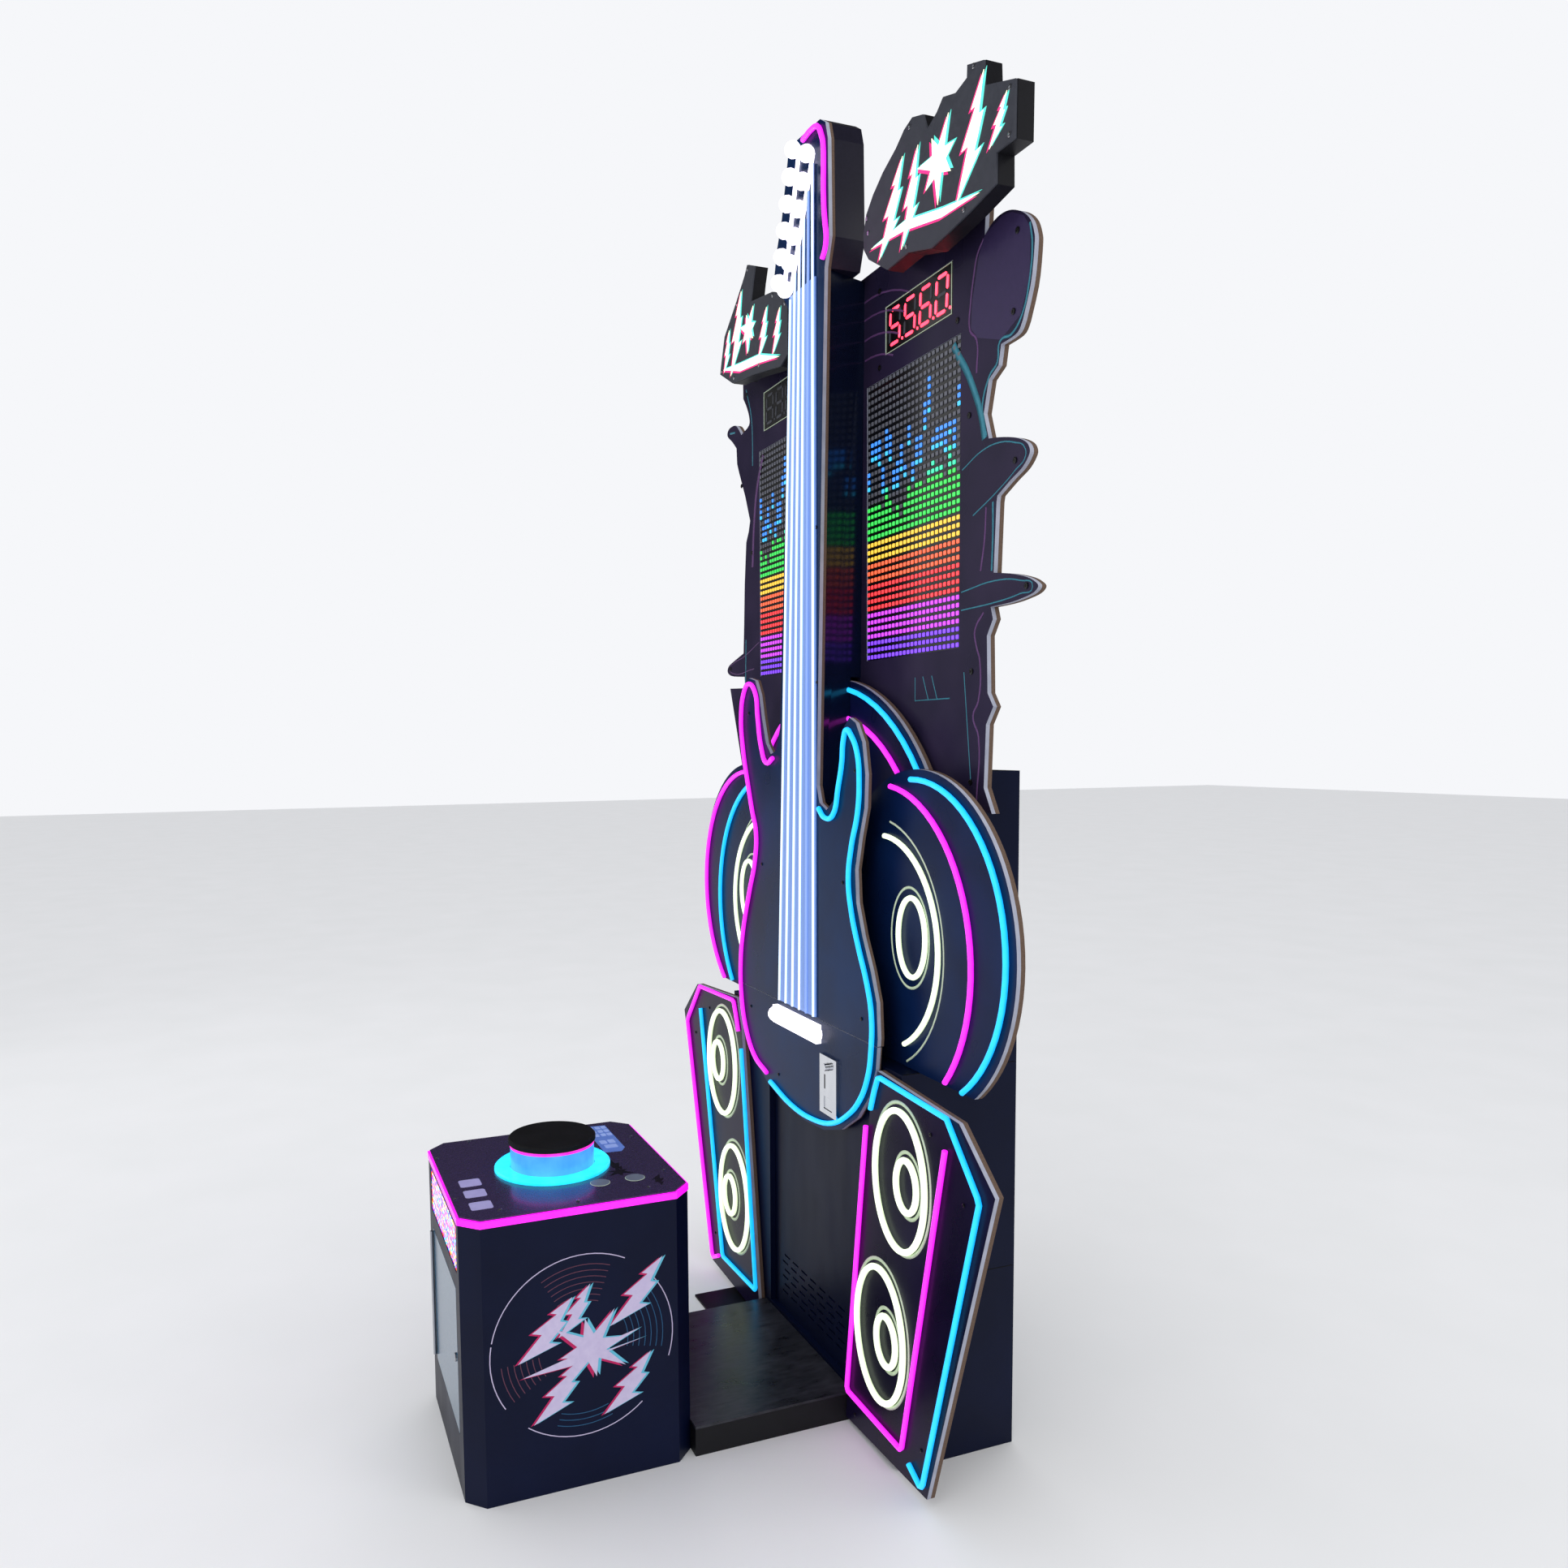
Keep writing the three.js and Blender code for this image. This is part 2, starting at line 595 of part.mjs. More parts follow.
const RIGHT_SIGN = [
  [348, 2535], [267, 2585], [245, 2613], [243, 2645], [256, 2682], [286, 2710], [328, 2737], [383, 2761],
  [416, 2782], [448, 2791], [490, 2777], [506, 2742], [541, 2757], [563, 2774], [607, 2760], [645, 2768],
  [646, 2790], [701, 2771], [704, 2726], [799, 2691], [798, 2593], [742, 2594], [743, 2541], [658, 2527],
  [582, 2518], [523, 2513], [434, 2538],
];
const RIGHT_SIGN_HOLLOW = [
  [400, 2560], [300, 2600], [270, 2645], [310, 2700], [420, 2750], [462, 2750], [492, 2722], [560, 2738],
  [680, 2745], [688, 2712], [776, 2678], [776, 2612], [724, 2610], [722, 2558], [600, 2545], [500, 2545],
];
const LEFT_SIGN = [
  [-611, 2595], [-604, 2615], [-575, 2687], [-489, 2749], [-426, 2798], [-407, 2820], [-355, 2798],
  [-371, 2761], [-384, 2718], [-243, 2695], [-185, 2667], [-150, 2650], [-150, 2515], [-195, 2498],
  [-369, 2527], [-517, 2545],
];
const LEFT_SIGN_HOLLOW = [
  [-580, 2606], [-556, 2674], [-480, 2724], [-412, 2776], [-386, 2776], [-392, 2752], [-408, 2696],
  [-250, 2672], [-172, 2636], [-172, 2530], [-200, 2522], [-365, 2549], [-510, 2566],
];

// Shrinks an outline towards its middle, for a hollow inside it.
function shrunk(points, factor) {
  const middle = [0, 1].map((axis) => points.reduce((sum, point) => sum + point[axis], 0) / points.length);
  return points.map((point) => point.map((value, axis) => middle[axis] + factor * (value - middle[axis])));
}

function buildBoards() {
  const boards = new THREE.Group();
  for (const [side, name] of [[1, 'right'], [-1, 'left']]) {
    const speaker = side > 0 ? SPEAKER_OUTLINE : mirrored(SPEAKER_OUTLINE);
    boards.add(piece(`speaker_board_${name}`, upright(polygon(speaker), FACE, BOARD), printedBoard()));
    boards.add(piece(`round_board_${name}`, roundBoard(side), printedBoard()));

    const wing = side > 0 ? rightWingShape() : leftWingShape();
    wing.holes.push(windowPath(side, LED, FIT), windowPath(side, SCORE, FIT));
    boards.add(piece(`wing_board_${name}`, upright(wing, WING_FACE, BOARD, 3), printedBoard()));
    const matrix = upright(windowPath(side, LED, 0), WING_FACE + 2, 14);
    boards.add(piece(`led_matrix_${name}`, matrix, paint(0x0c0c10, 0.5)));
    const score = upright(windowPath(side, SCORE, 0), WING_FACE + 1, 14);
    boards.add(piece(`score_display_${name}`, score, paint(0x120a0c, 0.3)));

    const sign = side > 0 ? RIGHT_SIGN : LEFT_SIGN;
    const signHollow = side > 0 ? RIGHT_SIGN_HOLLOW : LEFT_SIGN_HOLLOW;
    const tray = cut(upright(polygon(sign), SIGN_FACE + 4, 34), upright(polygon(signHollow), SIGN_FACE, 34));
    const bracketX = side * (side > 0 ? 500 : 450);
    const bracket = span([bracketX - 80, SIGN_FACE + 30, 2560], [bracketX + 80, WING_FACE - GAP, 2596]);
    boards.add(piece(`sign_box_${name}`, join(tray, bracket), paint(0x1c1c20, 0.5)));
    const face = upright(polygon(shrunk(sign, 0.995)), SIGN_FACE, 4 - GAP);
    boards.add(piece(`sign_face_${name}`, face, glow(0xf6ecc8)));
  }
  boards.add(piece('centre_disc', centreDisc(), printedBoard()));
  return boards;
}

// ---------------------------------------------------------------- guitar
function guitarShape() {
  const shape = new THREE.Shape();
  shape.moveTo(153, NECK_TOP);
  shape.lineTo(108, 1500);
  shape.splineThru(vectors([
    [106, 1462], [122, 1422], [160, 1408], [196, 1434], [216, 1480], [230, 1550], [246, 1598],
    [276, 1616], [306, 1598], [336, 1550], [346, 1476], [338, 1405], [311, 1336], [297, 1262],
    [311, 1190], [344, 1120], [382, 1050], [402, 983], [400, 900], [386, 838], [346, 768], [274, 706],
    [190, 666], [91, 648], [-31, 648], [-150, 668], [-240, 700], [-318, 758], [-362, 838], [-378, 920],
    [-374, 990], [-354, 1070], [-314, 1165], [-276, 1257], [-266, 1330], [-282, 1400], [-316, 1480],
    [-346, 1560], [-356, 1640], [-342, 1696], [-306, 1730], [-262, 1726], [-234, 1690], [-216, 1630],
    [-192, 1565], [-160, 1534], [-126, 1542], [-100, 1600],
  ]));
  shape.lineTo(-30, 2565);
  shape.lineTo(-60, NECK_TOP);
  shape.closePath();
  return shape;
}

const HEAD_OUTLINE = [
  [153, NECK_TOP - 1], [175, 2664], [170, 2870], [158, 2908], [132, 2926], [-20, 2938], [-36, 2928],
  [-53, 2870], [-75, 2796], [-105, 2735], [-123, 2672], [-113, 2651], [-60, NECK_TOP - 1],
];

// The strings run from an even spread at the bridge to a closer one at the head.
function stringX(index, z) {
  const { count, low, lowEdges, high, highEdges } = STRINGS;
  const t = (z - low) / (high - low);
  const [left, right] = lowEdges.map((edge, side) => edge + (highEdges[side] - edge) * t);
  return left + ((right - left) * index) / (count - 1);
}

// Each string ends under its own lamp of the inner column.
const innerLampZ = (index) => HEAD_LAMP.innerLow + HEAD_LAMP.innerStep * index;
const innerLampX = (index) => stringX(index, innerLampZ(index)) - HEAD_LAMP.besideString;
const outerLampZ = (index) => HEAD_LAMP.outerLow + HEAD_LAMP.outerStep * index;
const outerLampX = (index) => HEAD_LAMP.outerX + HEAD_LAMP.outerStepX * index;

// Six glowing tubes on one backing strip.
function stringLights() {
  const backing = 3.5;
  const y = FACE - GAP - backing;
  const margin = 9;
  const [lowLeft, lowRight] = STRINGS.lowEdges;
  const [highLeft, highRight] = STRINGS.highEdges;
  const strip = upright(polygon([
    [lowLeft - margin, STRINGS.low], [lowRight + margin, STRINGS.low],
    [highRight + margin, STRINGS.high], [highLeft - margin, STRINGS.high],
  ]), y, backing);
  const tubes = [];
  for (let index = 0; index < STRINGS.count; index += 1) {
    const top = innerLampZ(index) - HEAD_LAMP.radius - 2;
    const length = top - STRINGS.low;
    const tube = new THREE.CylinderGeometry(STRINGS.radius, STRINGS.radius, length, 10);
    tube.rotateX(Math.PI / 2);
    const lean = (stringX(index, top) - stringX(index, STRINGS.low)) / length;
    tube.rotateY(Math.atan(lean));
    const middleZ = (top + STRINGS.low) / 2;
    tube.translate(stringX(index, middleZ), y - STRINGS.radius + 3, middleZ);
    tubes.push(tube);
  }
  return join(strip, ...tubes);
}

function globe(radius, x, y, z) {
  const geometry = new THREE.SphereGeometry(radius, 12, 8);
  geometry.translate(x, y, z);
  return geometry;
}

// Two slanting columns of globes on a flat ladder of strips.
function headLamps() {
  const backY = FACE - GAP;
  const lampY = FACE - 18;
  const lamps = [];
  for (let index = 0; index < STRINGS.count; index += 1) {
    lamps.push(globe(HEAD_LAMP.radius, innerLampX(index), lampY, innerLampZ(index)));
    lamps.push(globe(HEAD_LAMP.radius, outerLampX(index), lampY, outerLampZ(index)));
  }
  const last = STRINGS.count - 1;
  const half = 8;
  const rail = (x, z) => upright(polygon([
    [x(0) - half, z(0)], [x(0) + half, z(0)], [x(last) + half, z(last)], [x(last) - half, z(last)],
  ]), backY - 4, 4);
  const rung = (index) => upright(polygon([
    [outerLampX(index), outerLampZ(index) - half], [innerLampX(index), innerLampZ(index) - half],
    [innerLampX(index), innerLampZ(index) + half], [outerLampX(index), outerLampZ(index) + half],
  ]), backY - 4, 4);
  const ladder = join(rail(innerLampX, innerLampZ), rail(outerLampX, outerLampZ), rung(0), rung(last));
  const inFront = span([-400, 300, 2500], [400, backY, 3000]);
  return common(join(ladder, ...lamps), inFront);
}

function buildGuitar() {
  const guitar = new THREE.Group();
  const outline = guitarShape();
  const headBoard = upright(polygon(HEAD_OUTLINE), FACE, GUITAR_BOARD);
  const board = join(upright(outline, FACE, GUITAR_BOARD, 1), headBoard);
  const above = span([-600, FACE - 5, SEAM + 1], [600, FACE + 40, 3000]);
  guitar.add(piece('guitar_board', common(board, above), laminate()));
  const lowerBoard = upright(outline, FACE, GUITAR_BOARD, 1);
  const below = span([-600, FACE, 600], [600, FACE + 12, SEAM - 1]);
  const plate = COIN_PLATE;
  const coinHole = span(
    [plate.left + 6, FACE - 5, plate.low + 4],
    [plate.right - 6, FACE + 40, plate.high - 4],
  );
  guitar.add(piece('guitar_lower_board', cut(common(lowerBoard, below), coinHole), laminate()));

  guitar.add(piece('neck_box', neckBox(), paint(0x0c0e18, 0.2)));

  const headDepth = 72;
  const headBack = FACE + GUITAR_BOARD + GAP;
  const headBox = cut(
    upright(polygon(HEAD_OUTLINE), headBack, headDepth),
    upright(polygon(shrunk(HEAD_OUTLINE, 0.88)), headBack - 1, headDepth - 10),
  );
  guitar.add(piece('head_box', headBox, paint(0x14141a, 0.4)));

  guitar.add(piece('string_lights', stringLights(), glow(0xeaf6ff)));

  guitar.add(piece('head_lamps', headLamps(), glow(0xffffff)));

  const bridgeY = FACE - GAP;
  const bridgeBar = block(2 * BRIDGE.halfWidth, 14, BRIDGE.height, BRIDGE.x, bridgeY - 7, BRIDGE.z);
  const globes = Array.from({ length: STRINGS.count }, (_, index) => {
    const x = BRIDGE.x + (index - (STRINGS.count - 1) / 2) * BRIDGE.pitch;
    return globe(BRIDGE.globe, x, bridgeY - 10, BRIDGE.z);
  });
  const inFront = span([-300, 300, 700], [300, bridgeY, 1000]);
  guitar.add(piece('bridge_lamps', common(join(bridgeBar, ...globes), inFront), glow(0xffffff)));

  addCoinEntry(guitar);
  return guitar;
}

// The neck box narrows downwards and towards the back, and is notched over the centre disc.
// Its mount block runs on down behind the guitar's body.
function neckBox() {
  const front = FACE + GUITAR_BOARD + GAP;
  const back = WING_FACE - GAP;
  const low = TOWER.shelfHeight + 1;
  const rings = [
    { z: low, points: [[104, front], [84, back], [-84, back], [-92, front]] },
    { z: NECK_TOP - 1 - GAP, points: [[146, front], [108, back], [-10, back], [-24, front]] },
  ];
  const corners = rings.flatMap(({ z, points }) => points.map(([x, y]) => [x, y, z]));
  const geometry = new THREE.BufferGeometry();
  geometry.setAttribute('position', new THREE.BufferAttribute(new Float32Array(corners.flat()), 3));
  const faces = [[0, 2, 1], [0, 3, 2], [4, 5, 6], [4, 6, 7]];
  for (let side = 0; side < 4; side += 1) {
    const next = (side + 1) % 4;
    faces.push([side, next, next + 4], [side, next + 4, side + 4]);
  }
  geometry.setIndex(faces.flat());
  const notchHigh = 1157 + 556 + 1;
  const notch = span([-200, DISC_FACE - GAP, low - 5], [200, back + 5, notchHigh]);
  const mountBlock = span([-84, front, 880], [84, TOWER.middleFront - GAP, low + 5]);
  return join(cut(geometry, notch), mountBlock);
}

// Coin plate, reject button, return flap, and the coin validator with its return cup.
function addCoinEntry(group) {
  const plate = COIN_PLATE;
  const slot = COIN_RETURN;
  const plateFront = FACE - GAP - plate.thickness;
  const plateGeometry = cut(
    span([plate.left, plateFront, plate.low], [plate.right, FACE - GAP, plate.high]),
    span([slot.left, plateFront - 5, slot.low], [slot.right, FACE + 5, slot.high]),
    span([158, plateFront - 5, 760], [164, FACE + 5, 794]),
    bar('y', REJECT.radius + 0.6, 40, [REJECT.x, FACE - 5, REJECT.z]),
  );
  group.add(piece('coin_plate', plateGeometry, chrome()));

  const buttonBack = FACE + 4;
  const button = bar('y', REJECT.radius, 22, [REJECT.x, buttonBack - 11, REJECT.z]);
  group.add(piece('reject_button', button, chrome()));

  const flap = span(
    [slot.left + 0.6, plateFront + 2, slot.low + 0.8],
    [slot.right - 0.6, plateFront + 4, slot.high - 1.5],
  );
  group.add(piece('coin_return_flap', flap, chrome()));

  const cupFront = FACE + GAP;
  const cup = cut(
    span([slot.left - 4, cupFront, slot.low - 6], [slot.right + 4, cupFront + 60, slot.high + 3]),
    span([slot.left - 1, cupFront - 1, slot.low - 3], [slot.right + 1, cupFront + 57, slot.high]),
  );
  const validator = span(
    [plate.left + 9, FACE + 13, slot.high + 2],
    [plate.right - 9, FACE + 92, plate.high - 6],
  );
  group.add(piece('coin_validator', join(cup, validator), paint(0x1a1a1e, 0.5)));
}

// ---------------------------------------------------------------- the whole machine
const machine = new THREE.Group();
machine.add(buildPodium(), buildPlatform(), buildTower(), buildBoards(), buildGuitar());
const extent = new THREE.Box3().setFromObject(machine);
machine.position.y = -(extent.min.y + extent.max.y) / 2;

export default machine;
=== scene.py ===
# Guitar light tower: the finishes, the light tubes, the lit dots, the prints and the small fixings,
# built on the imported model. Everything is in metres in the model's own frame.
import math

import bpy
from mathutils import Matrix, Vector

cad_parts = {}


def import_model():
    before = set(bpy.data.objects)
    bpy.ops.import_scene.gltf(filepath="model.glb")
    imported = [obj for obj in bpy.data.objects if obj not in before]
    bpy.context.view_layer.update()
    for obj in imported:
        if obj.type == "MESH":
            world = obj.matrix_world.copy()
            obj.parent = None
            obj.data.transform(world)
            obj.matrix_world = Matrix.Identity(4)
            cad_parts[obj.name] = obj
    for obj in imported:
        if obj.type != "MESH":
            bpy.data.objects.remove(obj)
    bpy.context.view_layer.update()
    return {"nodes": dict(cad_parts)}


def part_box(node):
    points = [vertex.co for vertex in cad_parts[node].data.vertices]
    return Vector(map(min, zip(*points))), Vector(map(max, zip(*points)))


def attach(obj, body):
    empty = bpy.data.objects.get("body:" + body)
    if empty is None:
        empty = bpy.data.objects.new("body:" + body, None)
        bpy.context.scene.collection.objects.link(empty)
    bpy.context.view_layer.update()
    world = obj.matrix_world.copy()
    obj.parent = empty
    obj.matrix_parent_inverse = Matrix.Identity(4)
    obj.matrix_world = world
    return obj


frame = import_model()
NODES = frame["nodes"]

# ---------------------------------------------------------------- places, read from the frame
MM = 0.001
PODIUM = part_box("podium_cabinet")
CASE_REAR = PODIUM[1][1]                      # the podium's rear face, where the platform starts
GUITAR_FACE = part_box("guitar_board")[0][1]
SPEAKER_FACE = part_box("speaker_board_right")[0][1]
ROUND_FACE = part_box("round_board_right")[0][1]
DISC_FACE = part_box("centre_disc")[0][1]
WING_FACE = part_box("wing_board_right")[0][1]
MATRIX_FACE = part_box("led_matrix_right")[0][1]
SCORE_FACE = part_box("score_display_right")[0][1]
SIGN_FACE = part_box("sign_face_right")[0][1]
PLATE_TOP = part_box("top_plate")[1][2]
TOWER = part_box("tower_cabinet")
TUBE = 6.0                                    # radius of a light tube, in mm
WOOFER_TUBE = 7                               # radius of the thicker tubes on the woofers, in mm
STRIP_FRONT, TUBE_FRONT = 3.9 * MM, 4.6 * MM  # how far the string strip and its tubes stand out
DULL_REACH = 9 * MM                           # half the width of the one string that is not lit
PALE_EDGE = 9 * MM                            # thickness of the acrylic on the front of each board
ROOT = "machine"


# ---------------------------------------------------------------- node and colour helpers
def linear(code):
    """A linear RGBA colour from an sRGB hex code."""
    parts = [int(code[i:i + 2], 16) / 255 for i in (1, 3, 5)]
    return [c / 12.92 if c <= 0.04045 else ((c + 0.055) / 1.055) ** 2.4 for c in parts] + [1.0]


def add(tree, kind, inputs=(), **settings):
    """Adds a shader node, sets it up, and fills its sockets with values or links."""
    made = tree.nodes.new("ShaderNode" + kind)
    for name, value in settings.items():
        setattr(made, name, value)
    for socket, value in dict(inputs).items():
        if isinstance(value, bpy.types.NodeSocket):
            tree.links.new(value, made.inputs[socket])
        else:
            made.inputs[socket].default_value = value
    return made


def blank(name):
    """A new material's tree, its object coordinates, and a function that sets the final shader."""
    material = bpy.data.materials.new(name)
    material.use_nodes = True
    tree = material.node_tree
    tree.nodes.clear()
    place = add(tree, "TexCoord").outputs["Object"]

    def shade(inputs):
        shader = add(tree, "BsdfPrincipled", inputs)
        add(tree, "OutputMaterial", {"Surface": shader.outputs[0]})
        return material

    return tree, place, shade


def grain(tree, place, size_mm, detail=3.0, stretch=(1, 1, 1)):
    """Noise with features of about this size, stretched along an axis where asked."""
    moved = add(tree, "Mapping", {"Vector": place, "Scale": stretch}).outputs[0]
    return add(tree, "TexNoise", {"Vector": moved, "Scale": 1 / (size_mm * MM),
                                  "Detail": detail}).outputs["Fac"]


def between(tree, factor, low, high):
    """A factor from 0 to 1 spread to run from low to high."""
    return add(tree, "MapRange", {0: factor, 3: low, 4: high}).outputs[0]


def blend_colours(tree, factor, first, second):
    return add(tree, "Mix", {0: factor, 6: first, 7: second}, data_type="RGBA").outputs[2]


def bump(tree, height, depth_mm, strength=0.5):
    return add(tree, "Bump", {"Height": height, "Distance": depth_mm * MM,
                              "Strength": strength}).outputs[0]


# ---------------------------------------------------------------- materials
def navy_laminate():
    # Pressed melamine laminate: near-black navy with a fine orange peel, so highlights break up
    # softly.
    tree, place, shade = blank("navy_laminate")
    mottle = grain(tree, place, 180)
    peel = grain(tree, place, 1.6, 2)
    smears = grain(tree, place, 60, 5, (1, 1, 0.3))
    colour = blend_colours(tree, mottle, linear("#050b22"), linear("#091436"))
    return shade({"Base Color": colour, "Roughness": between(tree, smears, 0.32, 0.5),
                  "Specular IOR Level": 0.14, "Normal": bump(tree, peel, 0.06, 0.35),})


def laminated_board(name, face, dark, tint):
    # Printed sheet, pale acrylic and brown MDF glued up: the print shows on the front, then a pale
    # stripe and a brown one along the sawn edge.
    tree, place, shade = blank(name)
    depth = add(tree, "SeparateXYZ", {0: place}).outputs[1]
    on_front = add(tree, "Math", {0: depth, 1: face + 0.3 * MM}, operation="LESS_THAN").outputs[0]
    on_acrylic = add(tree, "Math", {0: depth, 1: face + PALE_EDGE},
                     operation="LESS_THAN").outputs[0]
    cloud = grain(tree, place, 160, 2)
    fibre = grain(tree, place, 2.5, 4)
    print_colour = blend_colours(tree, between(tree, cloud, -0.4, 1.4), linear(dark), linear(tint))
    mdf = blend_colours(tree, fibre, linear("#4e4039"), linear("#7b6556"))
    acrylic = blend_colours(tree, grain(tree, place, 40), linear("#8f93a3"), linear("#b9bccb"))
    edge = blend_colours(tree, on_acrylic, mdf, acrylic)
    colour = blend_colours(tree, on_front, edge, print_colour)
    rough = add(tree, "Mix", {0: on_front, 2: 0.75, 3: between(tree, cloud, 0.22, 0.36)}).outputs[0]
    return shade({
        "Base Color": colour, "Roughness": rough, "Specular IOR Level": 0.12,
        "Normal": bump(tree, fibre, 0.08, 0.2),
    })


def powder_coat(name, low, high, rough):
    # Powder-coated steel: an even black with a fine pebble that spreads the highlights.
    tree, place, shade = blank(name)
    pebble = grain(tree, place, 1.2, 2)
    wear = grain(tree, place, 45, 6)
    return shade({
        "Base Color": blend_colours(tree, wear, linear(low), linear(high)),
        "Roughness": between(tree, wear, rough - 0.08, rough + 0.1), "Specular IOR Level": 0.25,
        "Normal": bump(tree, pebble, 0.08, 0.4),
    })


def trodden_deck():
    # Painted steel deck: satin charcoal rubbed paler by shoes, with fine scuffs across it.
    tree, place, shade = blank("trodden_deck")
    rub = grain(tree, place, 90, 6)
    scuff = grain(tree, place, 9, 8, (1, 0.25, 1))
    worn = add(tree, "Math", {0: rub, 1: scuff}, operation="MULTIPLY").outputs[0]
    colour = blend_colours(tree, between(tree, worn, -0.3, 2.2), linear("#1b1c22"),
                           linear("#4b4c55"))
    return shade({
        "Base Color": colour, "Roughness": between(tree, worn, 0.2, 0.7), "Metallic": 0.25,
        "Specular IOR Level": 0.5, "Normal": bump(tree, scuff, 0.1, 0.3),
    })


def bare_metal(name, low, high, rough, grain_mm):
    # Plated or polished steel: bright, with a faint directional grain in the sheen.
    tree, place, shade = blank(name)
    lines = grain(tree, place, grain_mm, 4, (1, 1, 0.1))
    return shade({
        "Base Color": blend_colours(tree, lines, linear(low), linear(high)), "Metallic": 1.0,
        "Roughness": between(tree, lines, rough * 0.7, rough * 1.4),
        "Normal": bump(tree, lines, 0.02, 0.15),
    })


def moulded_plastic(name, low, high, rough):
    # Injection-moulded ABS: even colour with a fine spark-eroded texture.
    tree, place, shade = blank(name)
    spark = grain(tree, place, 0.9, 2)
    cloud = grain(tree, place, 30)
    return shade({
        "Base Color": blend_colours(tree, cloud, linear(low), linear(high)),
        "Roughness": between(tree, spark, rough - 0.05, rough + 0.08),
        "Normal": bump(tree, spark, 0.04, 0.3),
    })


def rubber_pad():
    # Moulded rubber: matt black with a fine leathery grain and slight polish where hands land.
    tree, place, shade = blank("rubber_pad")
    leather = add(tree, "TexVoronoi", {"Vector": place,
                                       "Scale": 1 / (2.2 * MM)}).outputs["Distance"]
    polish = grain(tree, place, 50, 3)
    return shade({
        "Base Color": blend_colours(tree, polish, linear("#0c0c0e"), linear("#19191c")),
        "Roughness": between(tree, polish, 0.55, 0.85), "Specular IOR Level": 0.35,
        "Normal": bump(tree, leather, 0.15, 0.4),
    })


def gloss_sheet(name, low, high, rough):
    # Glossy acrylic-faced sheet: deep colour with clear, slightly wavy reflections.
    tree, place, shade = blank(name)
    wave = grain(tree, place, 70, 1)
    dust = grain(tree, place, 6, 6)
    return shade({"Base Color": blend_colours(tree, dust, linear(low), linear(high)),
                  "Roughness": between(tree, dust, rough * 0.7, rough * 1.4), "Coat Weight": 0.3,
                  "Coat Roughness": 0.12, "Normal": bump(tree, wave, 0.3, 0.1),})


def neon(name, deep, pale, face, strength, reach=12 * MM):
    # Silicone light tube: a milky skin, deep in colour at its foot and paler towards its front.
    tree, place, shade = blank(name)
    depth = add(tree, "SeparateXYZ", {0: place}).outputs[1]
    front = add(tree, "MapRange", {0: depth, 1: face, 2: face - reach, 3: 0.0, 4: 1.0}).outputs[0]
    pulse = grain(tree, place, 22, 1)
    colour = blend_colours(tree, front, linear(deep), linear(pale))
    return shade({
        "Base Color": linear(deep), "Roughness": 0.35, "Emission Color": colour,
        "Emission Strength": between(tree, pulse, strength * 0.85, strength * 1.15),
    })


def string_tubes():
    # Thin light tubes over a backing strip painted with a blue glow of their light: white where
    # they are lit, dull lilac on the one that is not.
    tree, place, shade = blank("string_tubes")
    axes = add(tree, "SeparateXYZ", {0: place}).outputs
    proud = add(tree, "MapRange", {0: axes[1], 1: GUITAR_FACE - STRIP_FRONT,
                                   2: GUITAR_FACE - TUBE_FRONT}).outputs[0]
    centre = add(tree, "MapRange", {0: axes[2], 1: DULL_STRING[0][1], 2: DULL_STRING[1][1],
                                    3: DULL_STRING[0][0], 4: DULL_STRING[1][0]},
                 clamp=False).outputs[0]
    aside = add(tree, "Math", {0: axes[0], 1: centre}, operation="SUBTRACT").outputs[0]
    away = add(tree, "Math", {0: aside}, operation="ABSOLUTE").outputs[0]
    lit = add(tree, "Math", {0: away, 1: DULL_REACH}, operation="GREATER_THAN").outputs[0]
    drift = grain(tree, place, 60, 2, (1, 1, 0.3))
    white = blend_colours(tree, drift, linear("#cdeeff"), linear("#f4fdff"))
    tube_colour = blend_colours(tree, lit, linear("#5e78c4"), white)
    return shade({
        "Base Color": linear("#7f97c8"), "Roughness": 0.35,
        # The backing strip emits dark blue: a painted glow of the tube light, as the strip is no
        # lamp.
        "Emission Color": blend_colours(tree, proud, linear("#0c3c78"), tube_colour),
        "Emission Strength": between(tree, drift, 1.0, 1.3),
    })


def lit_acrylic(name, deep, pale, strength, rough=0.25):
    # Frosted acrylic lit from inside: nearly even, with slow drifts in brightness.
    tree, place, shade = blank(name)
    drift = grain(tree, place, 35, 2)
    frost = grain(tree, place, 0.8, 2)
    return shade({
        "Base Color": linear(deep), "Roughness": rough,
        "Emission Color": blend_colours(tree, drift, linear(deep), linear(pale)),
        "Emission Strength": between(tree, drift, strength * 0.8, strength * 1.2),
        "Normal": bump(tree, frost, 0.03, 0.3),
    })


def printed_ink(name, low, high, rough=0.4, strength=0.0):
    # Screen-printed ink on the sheet: flat colour with slight unevenness, and a painted glow when
    # strength is above zero.
    tree, place, shade = blank(name)
    ink = grain(tree, place, 14, 4)
    colour = blend_colours(tree, ink, linear(low), linear(high))
    return shade({
        "Base Color": colour, "Roughness": between(tree, ink, rough - 0.05, rough + 0.1),
        # A strength above zero makes the ink glow though it is no lamp: a painted glow.
        "Specular IOR Level": 0.3, "Emission Color": colour, "Emission Strength": strength,
    })


def dot_lens():
    # Epoxy lens of a lit dot: milky, in the colour carried by each dot, and grey where it is unlit.
    tree, place, shade = blank("dot_lens")
    light = add(tree, "Attribute", attribute_name="dot_light").outputs
    sparkle = grain(tree, place, 5, 1)
    return shade({
        "Base Color": linear("#5d5f68"), "Roughness": 0.3, "Emission Color": light["Color"],
        "Emission Strength": between(tree, sparkle, DOT_STRENGTH * 0.8, DOT_STRENGTH * 1.2),
    })


